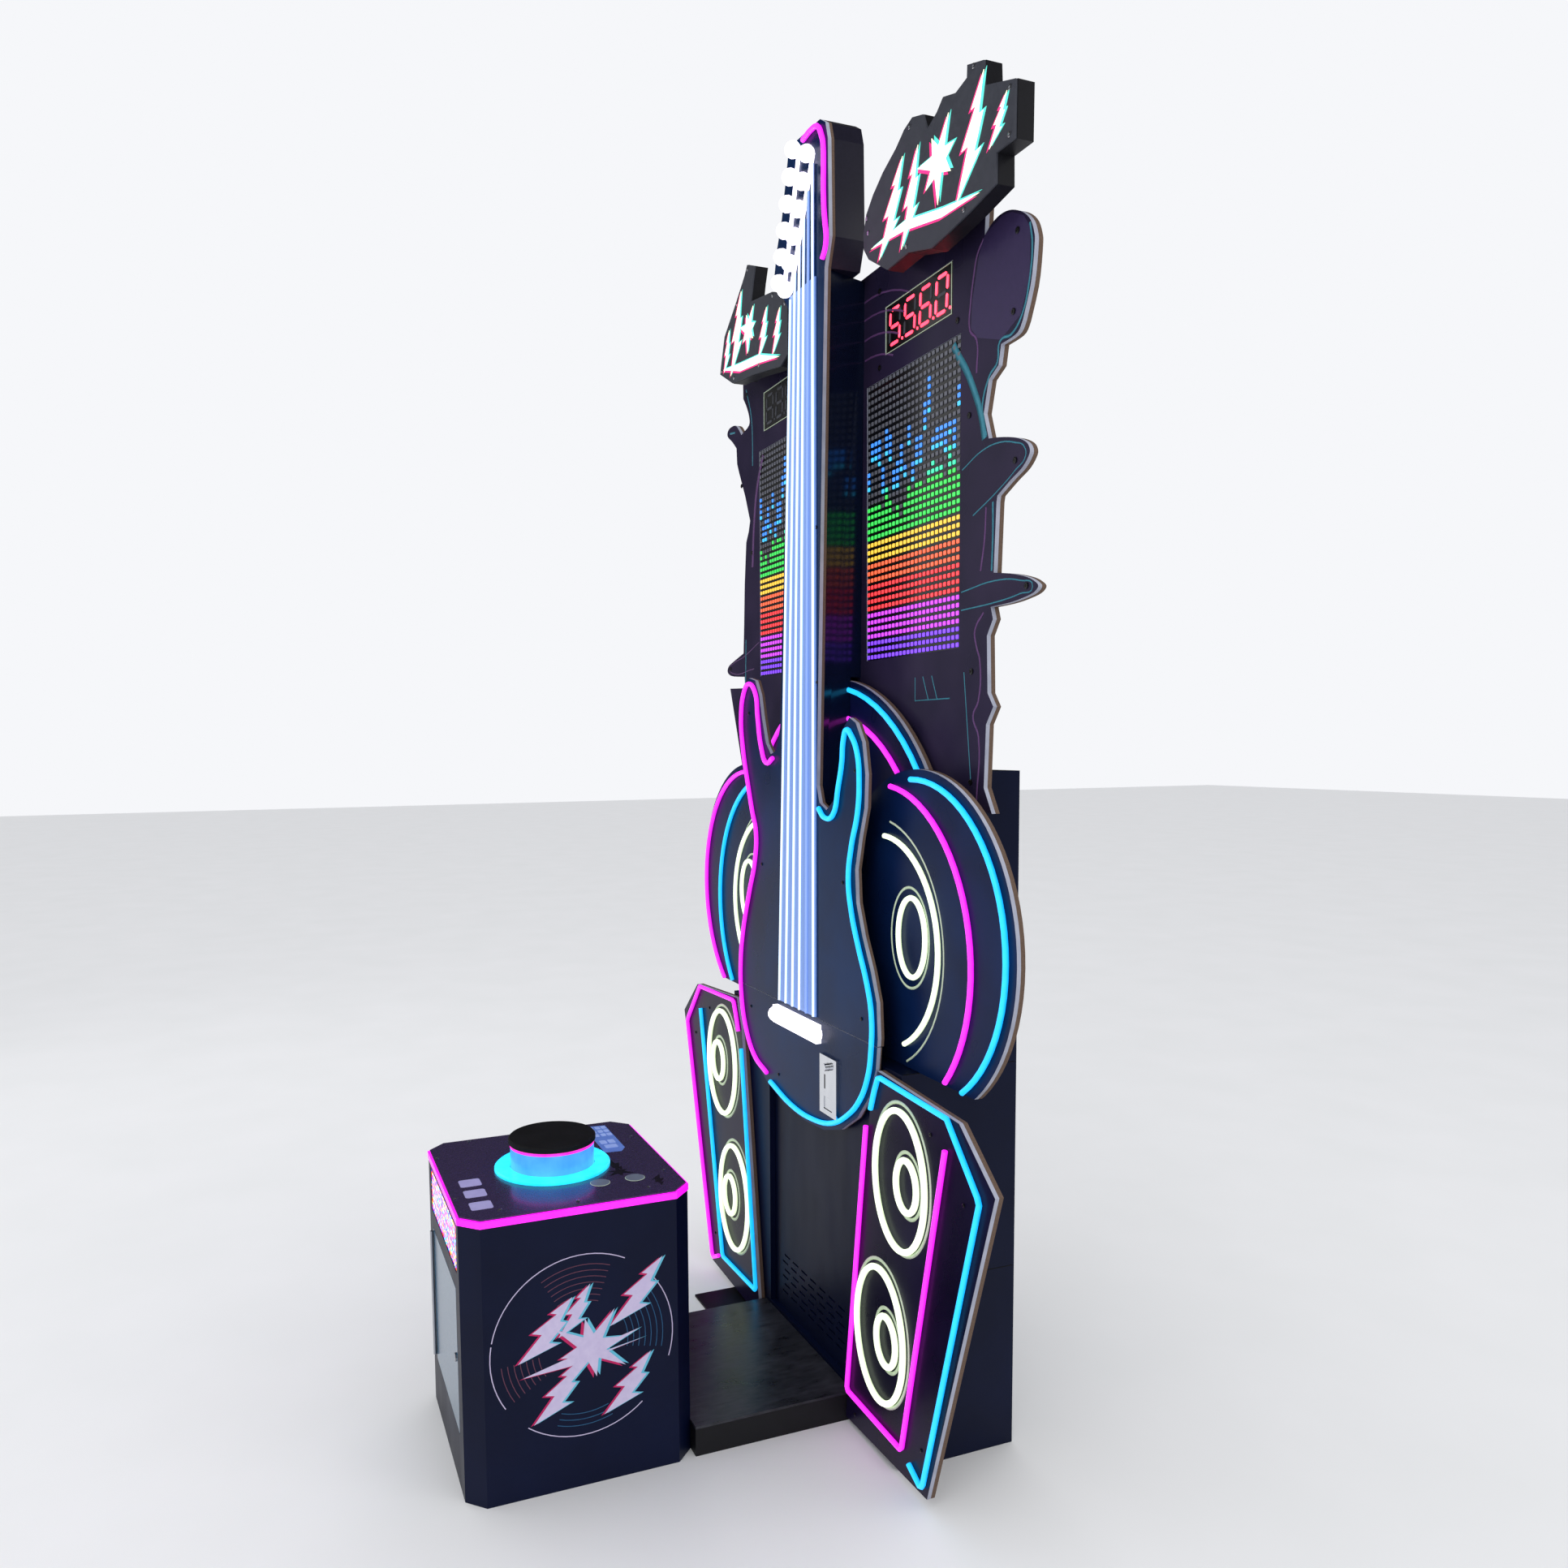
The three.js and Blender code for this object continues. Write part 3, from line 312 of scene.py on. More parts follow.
def screen_window():
    # Tinted window over a dense grid of lamps that show coloured bars.
    tree, place, shade = blank("screen_window")
    axes = add(tree, "SeparateXYZ", {0: place}).outputs
    cell = 7 * MM
    cells = add(tree, "VectorMath", {0: place, 1: (cell, cell, cell)}, operation="SNAP").outputs[0]
    pick = add(tree, "TexWhiteNoise", {"Vector": cells}, noise_dimensions="3D").outputs
    hue = add(tree, "ValToRGB", {0: pick["Value"]})
    ramp = hue.color_ramp
    ramp.interpolation = "CONSTANT"
    stops = ("#1428d8", "#5a20e8", "#18b8f0", "#f02890", "#f0c828", "#e83020")
    while len(ramp.elements) < len(stops):
        ramp.elements.new(0.5)
    for index, code in enumerate(stops):
        ramp.elements[index].position = index / len(stops)
        ramp.elements[index].color = linear(code)
    in_x = add(tree, "Math", {0: axes[0], 1: cell}, operation="PINGPONG").outputs[0]
    in_z = add(tree, "Math", {0: axes[2], 1: cell}, operation="PINGPONG").outputs[0]
    near = add(tree, "Math", {0: in_x, 1: in_z}, operation="MINIMUM").outputs[0]
    lit = add(tree, "MapRange", {0: near, 1: 0.8 * MM, 2: 2.5 * MM, 3: 0.3, 4: 3.0}).outputs[0]
    return shade({
        "Base Color": linear("#0c0b18"), "Roughness": 0.15,
        "Emission Color": hue.outputs[0], "Emission Strength": lit,
    })


def circuit_board():
    # Solder-masked board: green, with faint copper tracks under the mask.
    tree, place, shade = blank("circuit_board")
    tracks = add(tree, "TexBrick", {
        "Vector": place, "Color1": linear("#14552c"), "Color2": linear("#1b6a38"),
        "Mortar": linear("#2b8a4c"), "Scale": 1 / (30 * MM), "Mortar Size": 0.03,
    }).outputs[0]
    return shade({"Base Color": tracks, "Roughness": 0.35})


DOT_STRENGTH = 1.3
# One of the six strings is not lit: its foot and its head, as [x, z].
DULL_STRING = ((56 * MM, 916 * MM), (79 * MM, 2600 * MM))
MAGENTA, MAGENTA_PALE = "#d80cd8", "#f23cf4"
CYAN, CYAN_PALE = "#0894e8", "#28c0f8"
WHITE_GLOW, WHITE_PALE = "#cfe6b8", "#f2fbe2"
navy = navy_laminate()
guitar_print = laminated_board("guitar_print", GUITAR_FACE, "#041838", "#082c58")
speaker_print = laminated_board("speaker_print", SPEAKER_FACE, "#0c0a1e", "#1c1436")
round_print = laminated_board("round_print", ROUND_FACE, "#061434", "#0c2450")
disc_print = laminated_board("disc_print", DISC_FACE, "#081230", "#121448")
wing_sheet = laminated_board("wing_sheet", WING_FACE, "#1c1930", "#312843")
steel_black = powder_coat("steel_black", "#0f0f12", "#1c1c21", 0.5)
zinc = bare_metal("zinc_plate", "#9a9ca3", "#c4c6cc", 0.35, 3)
chrome = bare_metal("chrome_plate", "#d5d7dc", "#eceef2", 0.1, 6)
bronze = bare_metal("oiled_bronze", "#8f6a2c", "#b98f45", 0.3, 4)
black_plastic = moulded_plastic("black_plastic", "#101013", "#1b1b1f", 0.5)
red_plastic = moulded_plastic("red_plastic", "#8f1010", "#b81a1a", 0.35)
neck_gloss = gloss_sheet("neck_gloss", "#050c1e", "#091530", 0.2)
head_gloss = gloss_sheet("head_gloss", "#121020", "#1e1b30", 0.35)
overlay = gloss_sheet("overlay_print", "#221838", "#3a2a58", 0.25)
# The door's teal is partly the acrylic's own tint and partly a painted cyan glow in the base
# colour.
teal_door_painted_glow = gloss_sheet("teal_door_painted_glow", "#063c5c", "#0c6488", 0.2)
display_black = gloss_sheet("display_black", "#060608", "#0f0f14", 0.3)
# The charcoal sign face carries a faint painted glow (strength 0.1).
sign_charcoal = printed_ink("sign_charcoal", "#34363e", "#42444d", 0.45, 0.1)
sign_side = powder_coat("sign_side", "#101014", "#1c1c22", 0.4)
neon_white = {face: neon(f"neon_white_{tag}", WHITE_GLOW, WHITE_PALE, face, 1.15)
              for face, tag in ((SPEAKER_FACE, "speaker"), (ROUND_FACE, "round"))}
neon_magenta = {face: neon(f"neon_magenta_{tag}", MAGENTA, MAGENTA_PALE, face, 1.25) for face,
                tag in ((SPEAKER_FACE, "front"), (ROUND_FACE, "round"), (DISC_FACE, "disc"))}
neon_cyan = {face: neon(f"neon_cyan_{tag}", CYAN, CYAN_PALE, face, 1.25)
             for face, tag in ((SPEAKER_FACE, "front"), (ROUND_FACE, "round"), (DISC_FACE, "disc"))}
string_glow = string_tubes()
globe_glow = lit_acrylic("globe_glow", "#f4ecff", "#ffffff", 1.6)
band_glow = lit_acrylic("band_glow", "#f408e8", "#ff28f0", 1.1)
flange_glow = lit_acrylic("flange_glow", "#10c0f4", "#3ce4ff", 1.1)
skirt_glow = lit_acrylic("skirt_glow", "#3a88e0", "#58a8f4", 0.9)
rim_glow = lit_acrylic("rim_glow", "#f418b8", "#ff48cc", 1.1)


def dress(material, *names):
    for name in names:
        NODES[name].material_slots[0].material = material


dress(navy, "podium_cabinet", "tower_cabinet", "rear_door", "upper_cabinet", "front_vent_panel")
dress(guitar_print, "guitar_board", "guitar_lower_board")
dress(speaker_print, "speaker_board_right", "speaker_board_left")
dress(round_print, "round_board_right", "round_board_left")
dress(disc_print, "centre_disc")
dress(wing_sheet, "wing_board_right", "wing_board_left")
dress(trodden_deck(), "platform_deck")
dress(steel_black, "platform_frame", "side_foot_plate", "plunger_bracket")
dress(zinc, "podium_door_hinge", "podium_door_lock", "rear_door_hinge", "rear_door_lock",
      "return_spring", "power_supply", "coin_box")
dress(chrome, "plunger_shaft", "coin_plate", "reject_button", "coin_return_flap")
dress(bronze, "shaft_bush")
dress(black_plastic, "loudspeaker_left", "loudspeaker_right", "fan_frame", "fan_rotor",
      "power_inlet", "coin_validator")
dress(red_plastic, "power_rocker")
dress(circuit_board(), "control_board", "strike_sensor")
dress(neck_gloss, "neck_box")
dress(head_gloss, "head_box")
dress(overlay, "top_plate")
dress(teal_door_painted_glow, "podium_door")
dress(screen_window(), "podium_display")
dress(display_black, "led_matrix_left", "led_matrix_right", "score_display_left",
      "score_display_right")
dress(sign_charcoal, "sign_face_left", "sign_face_right")
dress(sign_side, "sign_box_left", "sign_box_right")
dress(string_glow, "string_lights")
dress(globe_glow, "head_lamps", "bridge_lamps")
dress(band_glow, "edge_light_band")
dress(flange_glow, "light_flange")
dress(skirt_glow, "pad_skirt")
dress(rim_glow, "pad_rim_light")
dress(rubber_pad(), "strike_pad")


# ---------------------------------------------------------------- shape helpers
def only(*objects):
    """Selects these objects and nothing else."""
    bpy.ops.object.select_all(action="DESELECT")
    for item in objects:
        item.select_set(True)
    bpy.context.view_layer.objects.active = objects[0]


def finish_piece(item, name, material, body=ROOT):
    """Names a piece, gives it its finish, and fixes it to the body that carries it."""
    item.name = name
    item.data.materials.clear()
    item.data.materials.append(material)
    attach(item, body)
    return item


def upright_point(x, z, y):
    return Vector((x * MM, y, z * MM))


def arc(x, z, radius_x, start, end, radius_z=None, step=5):
    """Points along an arc, in mm, from one angle to another in degrees."""
    radius_z = radius_z or radius_x
    count = max(2, int(abs(end - start) / step) + 1)
    angles = [math.radians(start + (end - start) * i / (count - 1)) for i in range(count)]
    return [(x + radius_x * math.cos(a), z + radius_z * math.sin(a)) for a in angles]


def ring(x, z, radius_x, radius_z, step=6):
    return arc(x, z, radius_x, 0, 360 - step, radius_z, step)


def mirror(points):
    return [(-x, z) for x, z in points]


def swept(paths, radius, smooth, closed, sides=2):
    """A mesh of round rods along 3-D paths, made from one curve."""
    curve = bpy.data.curves.new("rod", "CURVE")
    curve.dimensions = "3D"
    curve.bevel_depth = radius * MM
    curve.bevel_resolution = sides
    curve.use_fill_caps = True
    curve.resolution_u = 5
    for points in paths:
        if smooth:
            spline = curve.splines.new("BEZIER")
            spline.bezier_points.add(len(points) - 1)
            for knot, point in zip(spline.bezier_points, points):
                knot.co = point
                knot.handle_left_type = knot.handle_right_type = "AUTO"
        else:
            spline = curve.splines.new("POLY")
            spline.points.add(len(points) - 1)
            for knot, point in zip(spline.points, points):
                knot.co = (*point, 1)
        spline.use_cyclic_u = closed
    item = bpy.data.objects.new("rod", curve)
    bpy.context.scene.collection.objects.link(item)
    only(item)
    bpy.ops.object.convert(target="MESH")
    bpy.ops.object.shade_smooth()
    return item


def tube(name, points, face, material, closed=False, smooth=False, radius=TUBE):
    """A light tube that lies on a board's face."""
    y = face - (radius - 0.5) * MM
    item = swept([[upright_point(x, z, y) for x, z in points]], radius, smooth, closed)
    return finish_piece(item, name, material)


def front_plane(face):
    """Puts art drawn as [across, up] on an upright face that looks towards the player."""
    return Matrix.Translation((0, face, 0))


SIDE_PLANE = Matrix.Translation((PODIUM[1][0], (PODIUM[0][1] + PODIUM[1][1]) / 2,
                                 0)) @ Matrix.Rotation(math.pi / 2, 4, "Z")
TOP_PLANE = (Matrix.Translation((0, (PODIUM[0][1] + PODIUM[1][1]) / 2, PLATE_TOP))
             @ Matrix.Rotation(-math.pi / 2, 4, "X"))


def line_work(name, paths, width, plane, material, smooth=False, closed=False, thick=0.5):
    """Printed or painted lines: flat strips that lie on a face."""
    item = swept([[upright_point(x, z, 0) for x, z in path] for path in paths], width / 2, smooth,
                 closed, 0)
    item.data.transform(plane @ Matrix.Diagonal((1, thick / (width / 2), 1, 1)))
    return finish_piece(item, name, material)


def plates(name, outlines, plane, thick, material):
    """Flat plates cut to outlines given in mm as [across, up], lying on a face. Each is a hair
    thicker than the one before it, so that crossing plates never share a surface."""
    made = []
    for index, points in enumerate(outlines):
        curve = bpy.data.curves.new("plate", "CURVE")
        curve.dimensions = "2D"
        curve.fill_mode = "BOTH"
        depth = thick * (1 + 0.03 * index)
        curve.extrude = depth * MM / 2
        spline = curve.splines.new("POLY")
        spline.points.add(len(points) - 1)
        for knot, (across, up) in zip(spline.points, points):
            knot.co = (across * MM, up * MM, 0, 1)
        spline.use_cyclic_u = True
        item = bpy.data.objects.new("plate", curve)
        bpy.context.scene.collection.objects.link(item)
        only(item)
        bpy.ops.object.convert(target="MESH")
        stand = Matrix.Rotation(math.pi / 2, 4, "X")
        item.data.transform(plane @ Matrix.Translation((0, -depth * MM / 2, 0)) @ stand)
        made.append(item)
    only(*made)
    if len(made) > 1:
        bpy.ops.object.join()
    return finish_piece(bpy.context.view_layer.objects.active, name, material)


def copies(template, places, name, material):
    """One piece made of copies of a template mesh at each matrix; the template is removed."""
    made = []
    for place in places:
        item = bpy.data.objects.new("copy", template.data.copy())
        item.data.transform(place)
        bpy.context.scene.collection.objects.link(item)
        made.append(item)
    bpy.data.objects.remove(template)
    only(*made)
    bpy.ops.object.join()
    return finish_piece(bpy.context.view_layer.objects.active, name, material)


def screw_head(radius):
    """A low domed screw head with a socket, facing +Z, its back on the plane z = 0."""
    bpy.ops.object.select_all(action="DESELECT")
    bpy.ops.mesh.primitive_cylinder_add(vertices=14, radius=radius * MM, depth=2 * MM,
                                        location=(0, 0, 1 * MM))
    item = bpy.context.active_object
    bpy.ops.object.transform_apply(location=True)
    bpy.ops.object.mode_set(mode="EDIT")
    bpy.ops.mesh.select_all(action="DESELECT")
    bpy.ops.object.mode_set(mode="OBJECT")
    for face in item.data.polygons:
        face.select = face.normal.z > 0.9
    bpy.ops.object.mode_set(mode="EDIT")
    bpy.ops.mesh.select_mode(type="FACE")
    bpy.ops.mesh.inset(thickness=radius * 0.3 * MM, depth=0.5 * MM)
    bpy.ops.mesh.inset(thickness=radius * 0.25 * MM, depth=0)
    bpy.ops.mesh.inset(thickness=radius * 0.05 * MM, depth=-0.9 * MM)
    bpy.ops.object.mode_set(mode="OBJECT")
    return item


FACE_PLAYER = Matrix.Rotation(math.pi / 2, 4, "X")


def face_screws(name, points, face, radius, material):
    places = [Matrix.Translation(upright_point(x, z, face)) @ FACE_PLAYER for x, z in points]
    return copies(screw_head(radius), places, name, material)


def rounded(x, z, width, height, corner):
    """A rectangle with round corners, about its middle."""
    points = []
    for quarter, (sx, sz) in enumerate(((1, 1), (-1, 1), (-1, -1), (1, -1))):
        middle = (sx * (width / 2 - corner), sz * (height / 2 - corner))
        points += arc(middle[0], middle[1], corner, 90 * quarter, 90 * quarter + 90, step=30)
    return [(x + u, z + v) for u, v in points]


# ---------------------------------------------------------------- light tubes
def side_tubes(side, tag):
    """The tubes and rings of one side; the right one is drawn and the left one is its mirror."""
    turn = (lambda points: points) if side > 0 else mirror
    outer, inner = (neon_cyan, neon_magenta) if side > 0 else (neon_magenta, neon_cyan)
    flex = (("speaker_outer_tube", SPEAKER_FACE, outer,
             [(381, 774), (399, 820), (413, 849), (425, 853), (686, 842), (793, 725), (799, 712),
              (606, 58), (601, 50), (592, 47), (549, 68)]),
            ("speaker_inner_tube", SPEAKER_FACE, inner,
             [(360, 730), (270, 92), (276, 84), (512, 80), (520, 88), (681, 777)]),
            ("round_outer_tube", ROUND_FACE, outer, arc(449, 1148, 336, 92, -55)),
            ("round_inner_tube", ROUND_FACE, inner, arc(315, 1114, 355, 84, -42)),
            ("disc_outer_tube", DISC_FACE, outer, arc(0, 1157, 536, 85, 39)),
            ("disc_inner_tube", DISC_FACE, inner, arc(0, 1157, 470, 84, 46)))
    for name, face, colours, points in flex:
        tube(f"{name}_{tag}", turn(points), face, colours[face])
    tube(f"round_white_arc_{tag}", turn(arc(319, 1128, 231, 88, -65)), ROUND_FACE,
         neon_white[ROUND_FACE])
    tube(f"round_white_ring_{tag}", turn(ring(445, 1152, 55, 84)), ROUND_FACE,
         neon_white[ROUND_FACE], True)
    cones = []
    for level, (x, z), (x_in, z_in) in (("upper", (504, 660), (532, 655)),
                                        ("lower", (421, 291), (449, 286))):
        tube(f"woofer_ring_{level}_{tag}", turn(ring(x + 2, z - 3, 102, 147)), SPEAKER_FACE,
             neon_white[SPEAKER_FACE], True, radius=WOOFER_TUBE)
        tube(f"woofer_heart_{level}_{tag}", turn(ring(x_in + 3, z_in, 41, 54)), SPEAKER_FACE,
             neon_white[SPEAKER_FACE], True, radius=WOOFER_TUBE)
        cones += [turn(ring(x, z, 117, 160)), turn(ring(x_in, z_in, 55, 69))]
    line_work(f"woofer_trims_{tag}", cones, 8, front_plane(SPEAKER_FACE), trim_ink_painted_glow, closed=True,
              thick=2)
    thin = [turn(arc(290, 1122, 273, 79, -62))]
    line_work(f"round_trim_arc_{tag}", thin, 5, front_plane(ROUND_FACE), trim_ink_painted_glow, thick=1.5)
    line_work(f"round_trim_ring_{tag}", [turn(ring(429, 1149, 78, 107))], 6,
              front_plane(ROUND_FACE), trim_ink_painted_glow, closed=True, thick=1.5)


# Pale printed trim lines, given a painted glow (strength 0.35) though they are no lamp.
trim_ink_painted_glow = printed_ink("trim_ink_painted_glow", "#9fb096", "#c3d0b8", 0.4, 0.35)
side_tubes(1, "right")
side_tubes(-1, "left")

RIGHT_BOUT = [(127, 1411), (158, 1391), (200, 1398), (229, 1465), (246, 1517), (254, 1568),
              (268, 1589), (290, 1577), (318, 1540), (328, 1476), (320, 1408), (292, 1336),
              (277, 1262), (292, 1190), (325, 1117), (363, 1046), (384, 983), (382, 895),
              (369, 842), (331, 779), (263, 722), (192, 686), (91, 666), (-31, 666), (-162, 691),]
LEFT_BOUT = [(-135, 1524), (-176, 1512), (-208, 1553), (-230, 1630), (-244, 1690), (-290, 1716),
             (-323, 1693), (-342, 1633), (-330, 1545), (-300, 1460), (-270, 1385), (-245, 1330),
             (-254, 1257), (-296, 1165), (-340, 1058), (-358, 978), (-355, 881), (-328, 802),
             (-271, 737), (-185, 708),]
HEAD_EDGE = [(54, 2916), (100, 2918), (130, 2911), (152, 2880), (158, 2864), (161, 2735),
             (168, 2690), (173, 2663), (168, 2640), (153, 2622)]
tube("guitar_cyan_tube", RIGHT_BOUT, GUITAR_FACE, neon_cyan[SPEAKER_FACE], smooth=True)
tube("guitar_magenta_tube", LEFT_BOUT, GUITAR_FACE, neon_magenta[SPEAKER_FACE], smooth=True)
tube("head_magenta_tube", HEAD_EDGE, GUITAR_FACE, neon_magenta[SPEAKER_FACE], smooth=True)

# ---------------------------------------------------------------- lit dots
MATRIX = {"columns": 24, "rows": 39, "x": 127.5, "z": 1757, "pitch_x": 16.4, "pitch_z": 15.9}
BANDS = ((3, "#7a28ff"), (7, "#d22cff"), (11, "#ff1616"), (14, "#ff5a0c"), (17, "#ffc814"),
         (23, "#12d43c"))
UNLIT = (0.012, 0.012, 0.016, 1.0)
# For each column: the top of the green part, then the low and high ends of the blue bar above it.
BARS_RIGHT = ((22, 24, 27), (22, 28, 31), (22, 28, 31), (22, 27, 31), (21, 23, 27), (24, 28, 32),
              (22, 27, 31), (20, 23, 26), (21, 23, 27), (19, 25, 29), (21, 24, 26), (23, 28, 31),
              (22, 23, 26), (23, 25, 29), (23, 25, 29), (22, 29, 33), (24, 31, 36), (25, 26, 28),
              (24, 26, 29), (24, 26, 29), (22, 25, 29), (26, 27, 29), (24, 25, 29), (22, 30, 33),)
BARS_LEFT = tuple(reversed(BARS_RIGHT[6:] + BARS_RIGHT[:6]))


def dot_colour(row, bar):
    green_top, blue_low, blue_high = bar
    for top, code in BANDS:
        if row < min(top, green_top):
            return linear(code)
    if row < green_top:
        return linear("#18e0a8")
    if blue_low <= row < blue_high:
        return linear("#2088ff" if row > blue_low else "#20c0ff")
    return UNLIT


def dot_matrix(side, tag, bars):
    """A grid of square lenses on a display panel, each carrying its own colour."""
    bpy.ops.object.select_all(action="DESELECT")
    bpy.ops.mesh.primitive_cube_add(size=1, location=(0, 0, 0), scale=(10 * MM, 3 * MM, 9 * MM))
    item = bpy.context.active_object
    bpy.ops.object.transform_apply(scale=True)
    bpy.ops.object.mode_set(mode="EDIT")
    bpy.ops.mesh.select_all(action="SELECT")
    bpy.ops.mesh.bevel(offset=1.3 * MM, segments=1)
    bpy.ops.object.mode_set(mode="OBJECT")
    for count, step in ((MATRIX["columns"], (side * MATRIX["pitch_x"] * MM, 0, 0)),
                        (MATRIX["rows"], (0, 0, MATRIX["pitch_z"] * MM))):
        array = item.modifiers.new("grid", "ARRAY")
        array.count = count
        array.use_relative_offset = False
        array.use_constant_offset = True
        array.constant_offset_displace = step
        bpy.ops.object.modifier_apply(modifier=array.name)
    start = Vector((side * MATRIX["x"] * MM, MATRIX_FACE - 1 * MM, MATRIX["z"] * MM))
    item.data.transform(Matrix.Translation(start))
    light = item.data.color_attributes.new("dot_light", "FLOAT_COLOR", "CORNER")
    for face in item.data.polygons:
        column = round((abs(face.center.x) / MM - MATRIX["x"]) / MATRIX["pitch_x"])
        row = round((face.center.z / MM - MATRIX["z"]) / MATRIX["pitch_z"])
        for corner in face.loop_indices:
            light.data[corner].color = dot_colour(row, bars[column])
    finish_piece(item, f"dot_matrix_{tag}", lenses)


lenses = dot_lens()
dot_matrix(1, "right", BARS_RIGHT)
dot_matrix(-1, "left", BARS_LEFT)

# ---------------------------------------------------------------- score digits
SEGMENTS = {"0": "abcdef", "5": "afgcd", "6": "afgedc", "8": "abcdefg"}
DIGIT = {"width": 42, "height": 72, "bar": 6.5, "pitch": 64, "lean": 0.07}
SCORE = {"x": 342, "z": 2466, "point_x": 32, "point_z": 2430, "point_radius": 3.2}


def segment(x, z, key):
    """One bar of a seven-bar digit, as a stretched hexagon."""
    width, height, bar = DIGIT["width"], DIGIT["height"], DIGIT["bar"]
    half = height / 4
    middles = {"a": (0, 2 * half), "g": (0, 0), "d": (0, -2 * half), "f": (-width / 2, half),
               "b": (width / 2, half), "e": (-width / 2, -half), "c": (width / 2, -half)}
    length = (width if key in "agd" else height / 2) - bar - 2
    across = [(-length / 2, 0), (-length / 2 + bar / 2, bar / 2), (length / 2 - bar / 2, bar / 2),
              (length / 2, 0), (length / 2 - bar / 2, -bar / 2), (-length / 2 + bar / 2, -bar / 2)]
    shape = across if key in "agd" else [(v, -u) for u, v in across]
    mx, mz = middles[key]
    return [(x + mx + u + (mz + v) * DIGIT["lean"], z + mz + v) for u, v in shape]


def score(tag, middle_x, text, lit_ink):
    """Four digits with points, as lit and unlit bars; with no lit ink the whole display is off."""
    lit, dark = [], []
    for index, digit in enumerate(text):
        x = middle_x + (index - 1.5) * DIGIT["pitch"]
        for key in "abcdefg":
            bars = lit if lit_ink and key in SEGMENTS[digit] else dark
            bars.append(segment(x, SCORE["z"], key))
        point = ring(x + SCORE["point_x"], SCORE["point_z"], SCORE["point_radius"],
                     SCORE["point_radius"], 45)
        (lit if lit_ink else dark).append(point)
    plane = front_plane(SCORE_FACE)
    plates(f"score_bars_dark_{tag}", dark, plane, 0.8, unlit_bar)
    if lit:
        plates(f"score_bars_lit_{tag}", lit, plane, 1.0, lit_ink)


unlit_bar = printed_ink("unlit_bar", "#3a3c44", "#55575f", 0.35)
red_bar = lit_acrylic("red_bar", "#ff1838", "#ff5064", 4.0)
score("right", SCORE["x"], "5560", red_bar)
score("left", -SCORE["x"], "8888", None)
SCORE_FRAME = [(208, 2416), (476, 2416), (476, 2516), (208, 2516)]
for tag, frame_line in (("right", SCORE_FRAME), ("left", mirror(SCORE_FRAME))):
    line_work(f"score_frame_{tag}", [frame_line], 2.5, front_plane(WING_FACE), trim_ink_painted_glow,
              closed=True, thick=0.8)

# ---------------------------------------------------------------- prints on the wings
purple_ink = printed_ink("purple_ink", "#5a3a68", "#6f4a80", 0.4)
teal_ink = printed_ink("teal_ink", "#2f7488", "#4793a6", 0.4)
wing = front_plane(WING_FACE)
MIC_FILL = [(592, 2522), (649, 2536), (680, 2530), (718, 2509), (738, 2480), (738, 2396),
            (713, 2338), (649, 2312), (572, 2339), (548, 2364), (551, 2411), (574, 2494)]
MIC_TEAL = [(736, 2490), (744, 2450), (738, 2396), (716, 2337), (684, 2312), (646, 2310),
            (638, 2274), (612, 2256), (588, 2193), (604, 2148)]
MIC_PURPLE = [(588, 2518), (567, 2496), (555, 2460), (545, 2413), (543, 2363), (567, 2337),
              (568, 2274)]
STAND_TEAL = [(628, 2018), (629, 1959), (626, 1888)]
STAND_PURPLE = [(605, 2012), (601, 1953), (588, 1893)]
FOOT_PURPLE = [(600, 1812), (570, 1780), (575, 1750), (588, 1720), (584, 1640), (566, 1612),
               (586, 1570), (580, 1440)]
CYMBAL_TOP = [(520, 2100), (590, 2122), (650, 2124), (700, 2112), (726, 2100), (732, 2082),
              (700, 2062), (640, 2034), (560, 2004)]
CYMBAL_LOW = [(520, 1860), (640, 1868), (720, 1858), (758, 1842), (720, 1834), (660, 1828),
              (520, 1824)]
microphone_ink = printed_ink("microphone_ink", "#30264a", "#3c3058", 0.35)
plates("microphone_print", [MIC_FILL], wing, 0.25, microphone_ink)
line_work("wing_teal_right", [MIC_TEAL, STAND_TEAL], 6, wing, teal_ink, smooth=True)
line_work("wing_purple_right", [MIC_PURPLE, STAND_PURPLE, FOOT_PURPLE], 6, wing, purple_ink,
          smooth=True)
line_work("cymbal_lines_right", [CYMBAL_TOP, CYMBAL_LOW], 3, wing, teal_ink, smooth=True)
line_work("wing_arc_right", [[(484, 2352), (500, 2329), (530, 2292), (559, 2245), (584, 2193),
                              (598, 2143)]], 18, wing, teal_ink, smooth=True)
line_work("wing_grooves_right", [arc(120, 2130, r, 92, 74 - r / 40) for r in (300, 345, 390, 430)],
          5, wing, purple_ink)
line_work("wing_grooves_low_right", [[(340, 1700), (340, 1650), (480, 1650)],
                                     [(372, 1700), (395, 1650)], [(408, 1700), (430, 1650)],
                                     [(532, 1700), (560, 1480)]], 3, wing, teal_ink)
LEFT_TEAL = [[(-604, 2560), (-568, 2480), (-560, 2420), (-560, 2340)], [(-690, 2462), (-730, 2468)],
             [(-618, 1860), (-626, 1700), (-636, 1540)]]
line_work("wing_teal_left", LEFT_TEAL, 6, wing, teal_ink, smooth=True)
line_work("wing_arc_left", [[(-484, 2352), (-500, 2329), (-530, 2270), (-552, 2180), (-566, 2060)]],
          16, wing, purple_ink, smooth=True)
line_work("wing_grooves_left", [mirror(arc(120, 2130, r, 92, 74 - r / 40))
                                for r in (300, 345, 390, 430)], 5, wing, teal_ink)
line_work("cymbal_lines_left", [[(-520, 1846), (-640, 1812), (-712, 1800), (-746, 1784),
                                 (-722, 1770), (-560, 1774)]], 3, wing, purple_ink, smooth=True)

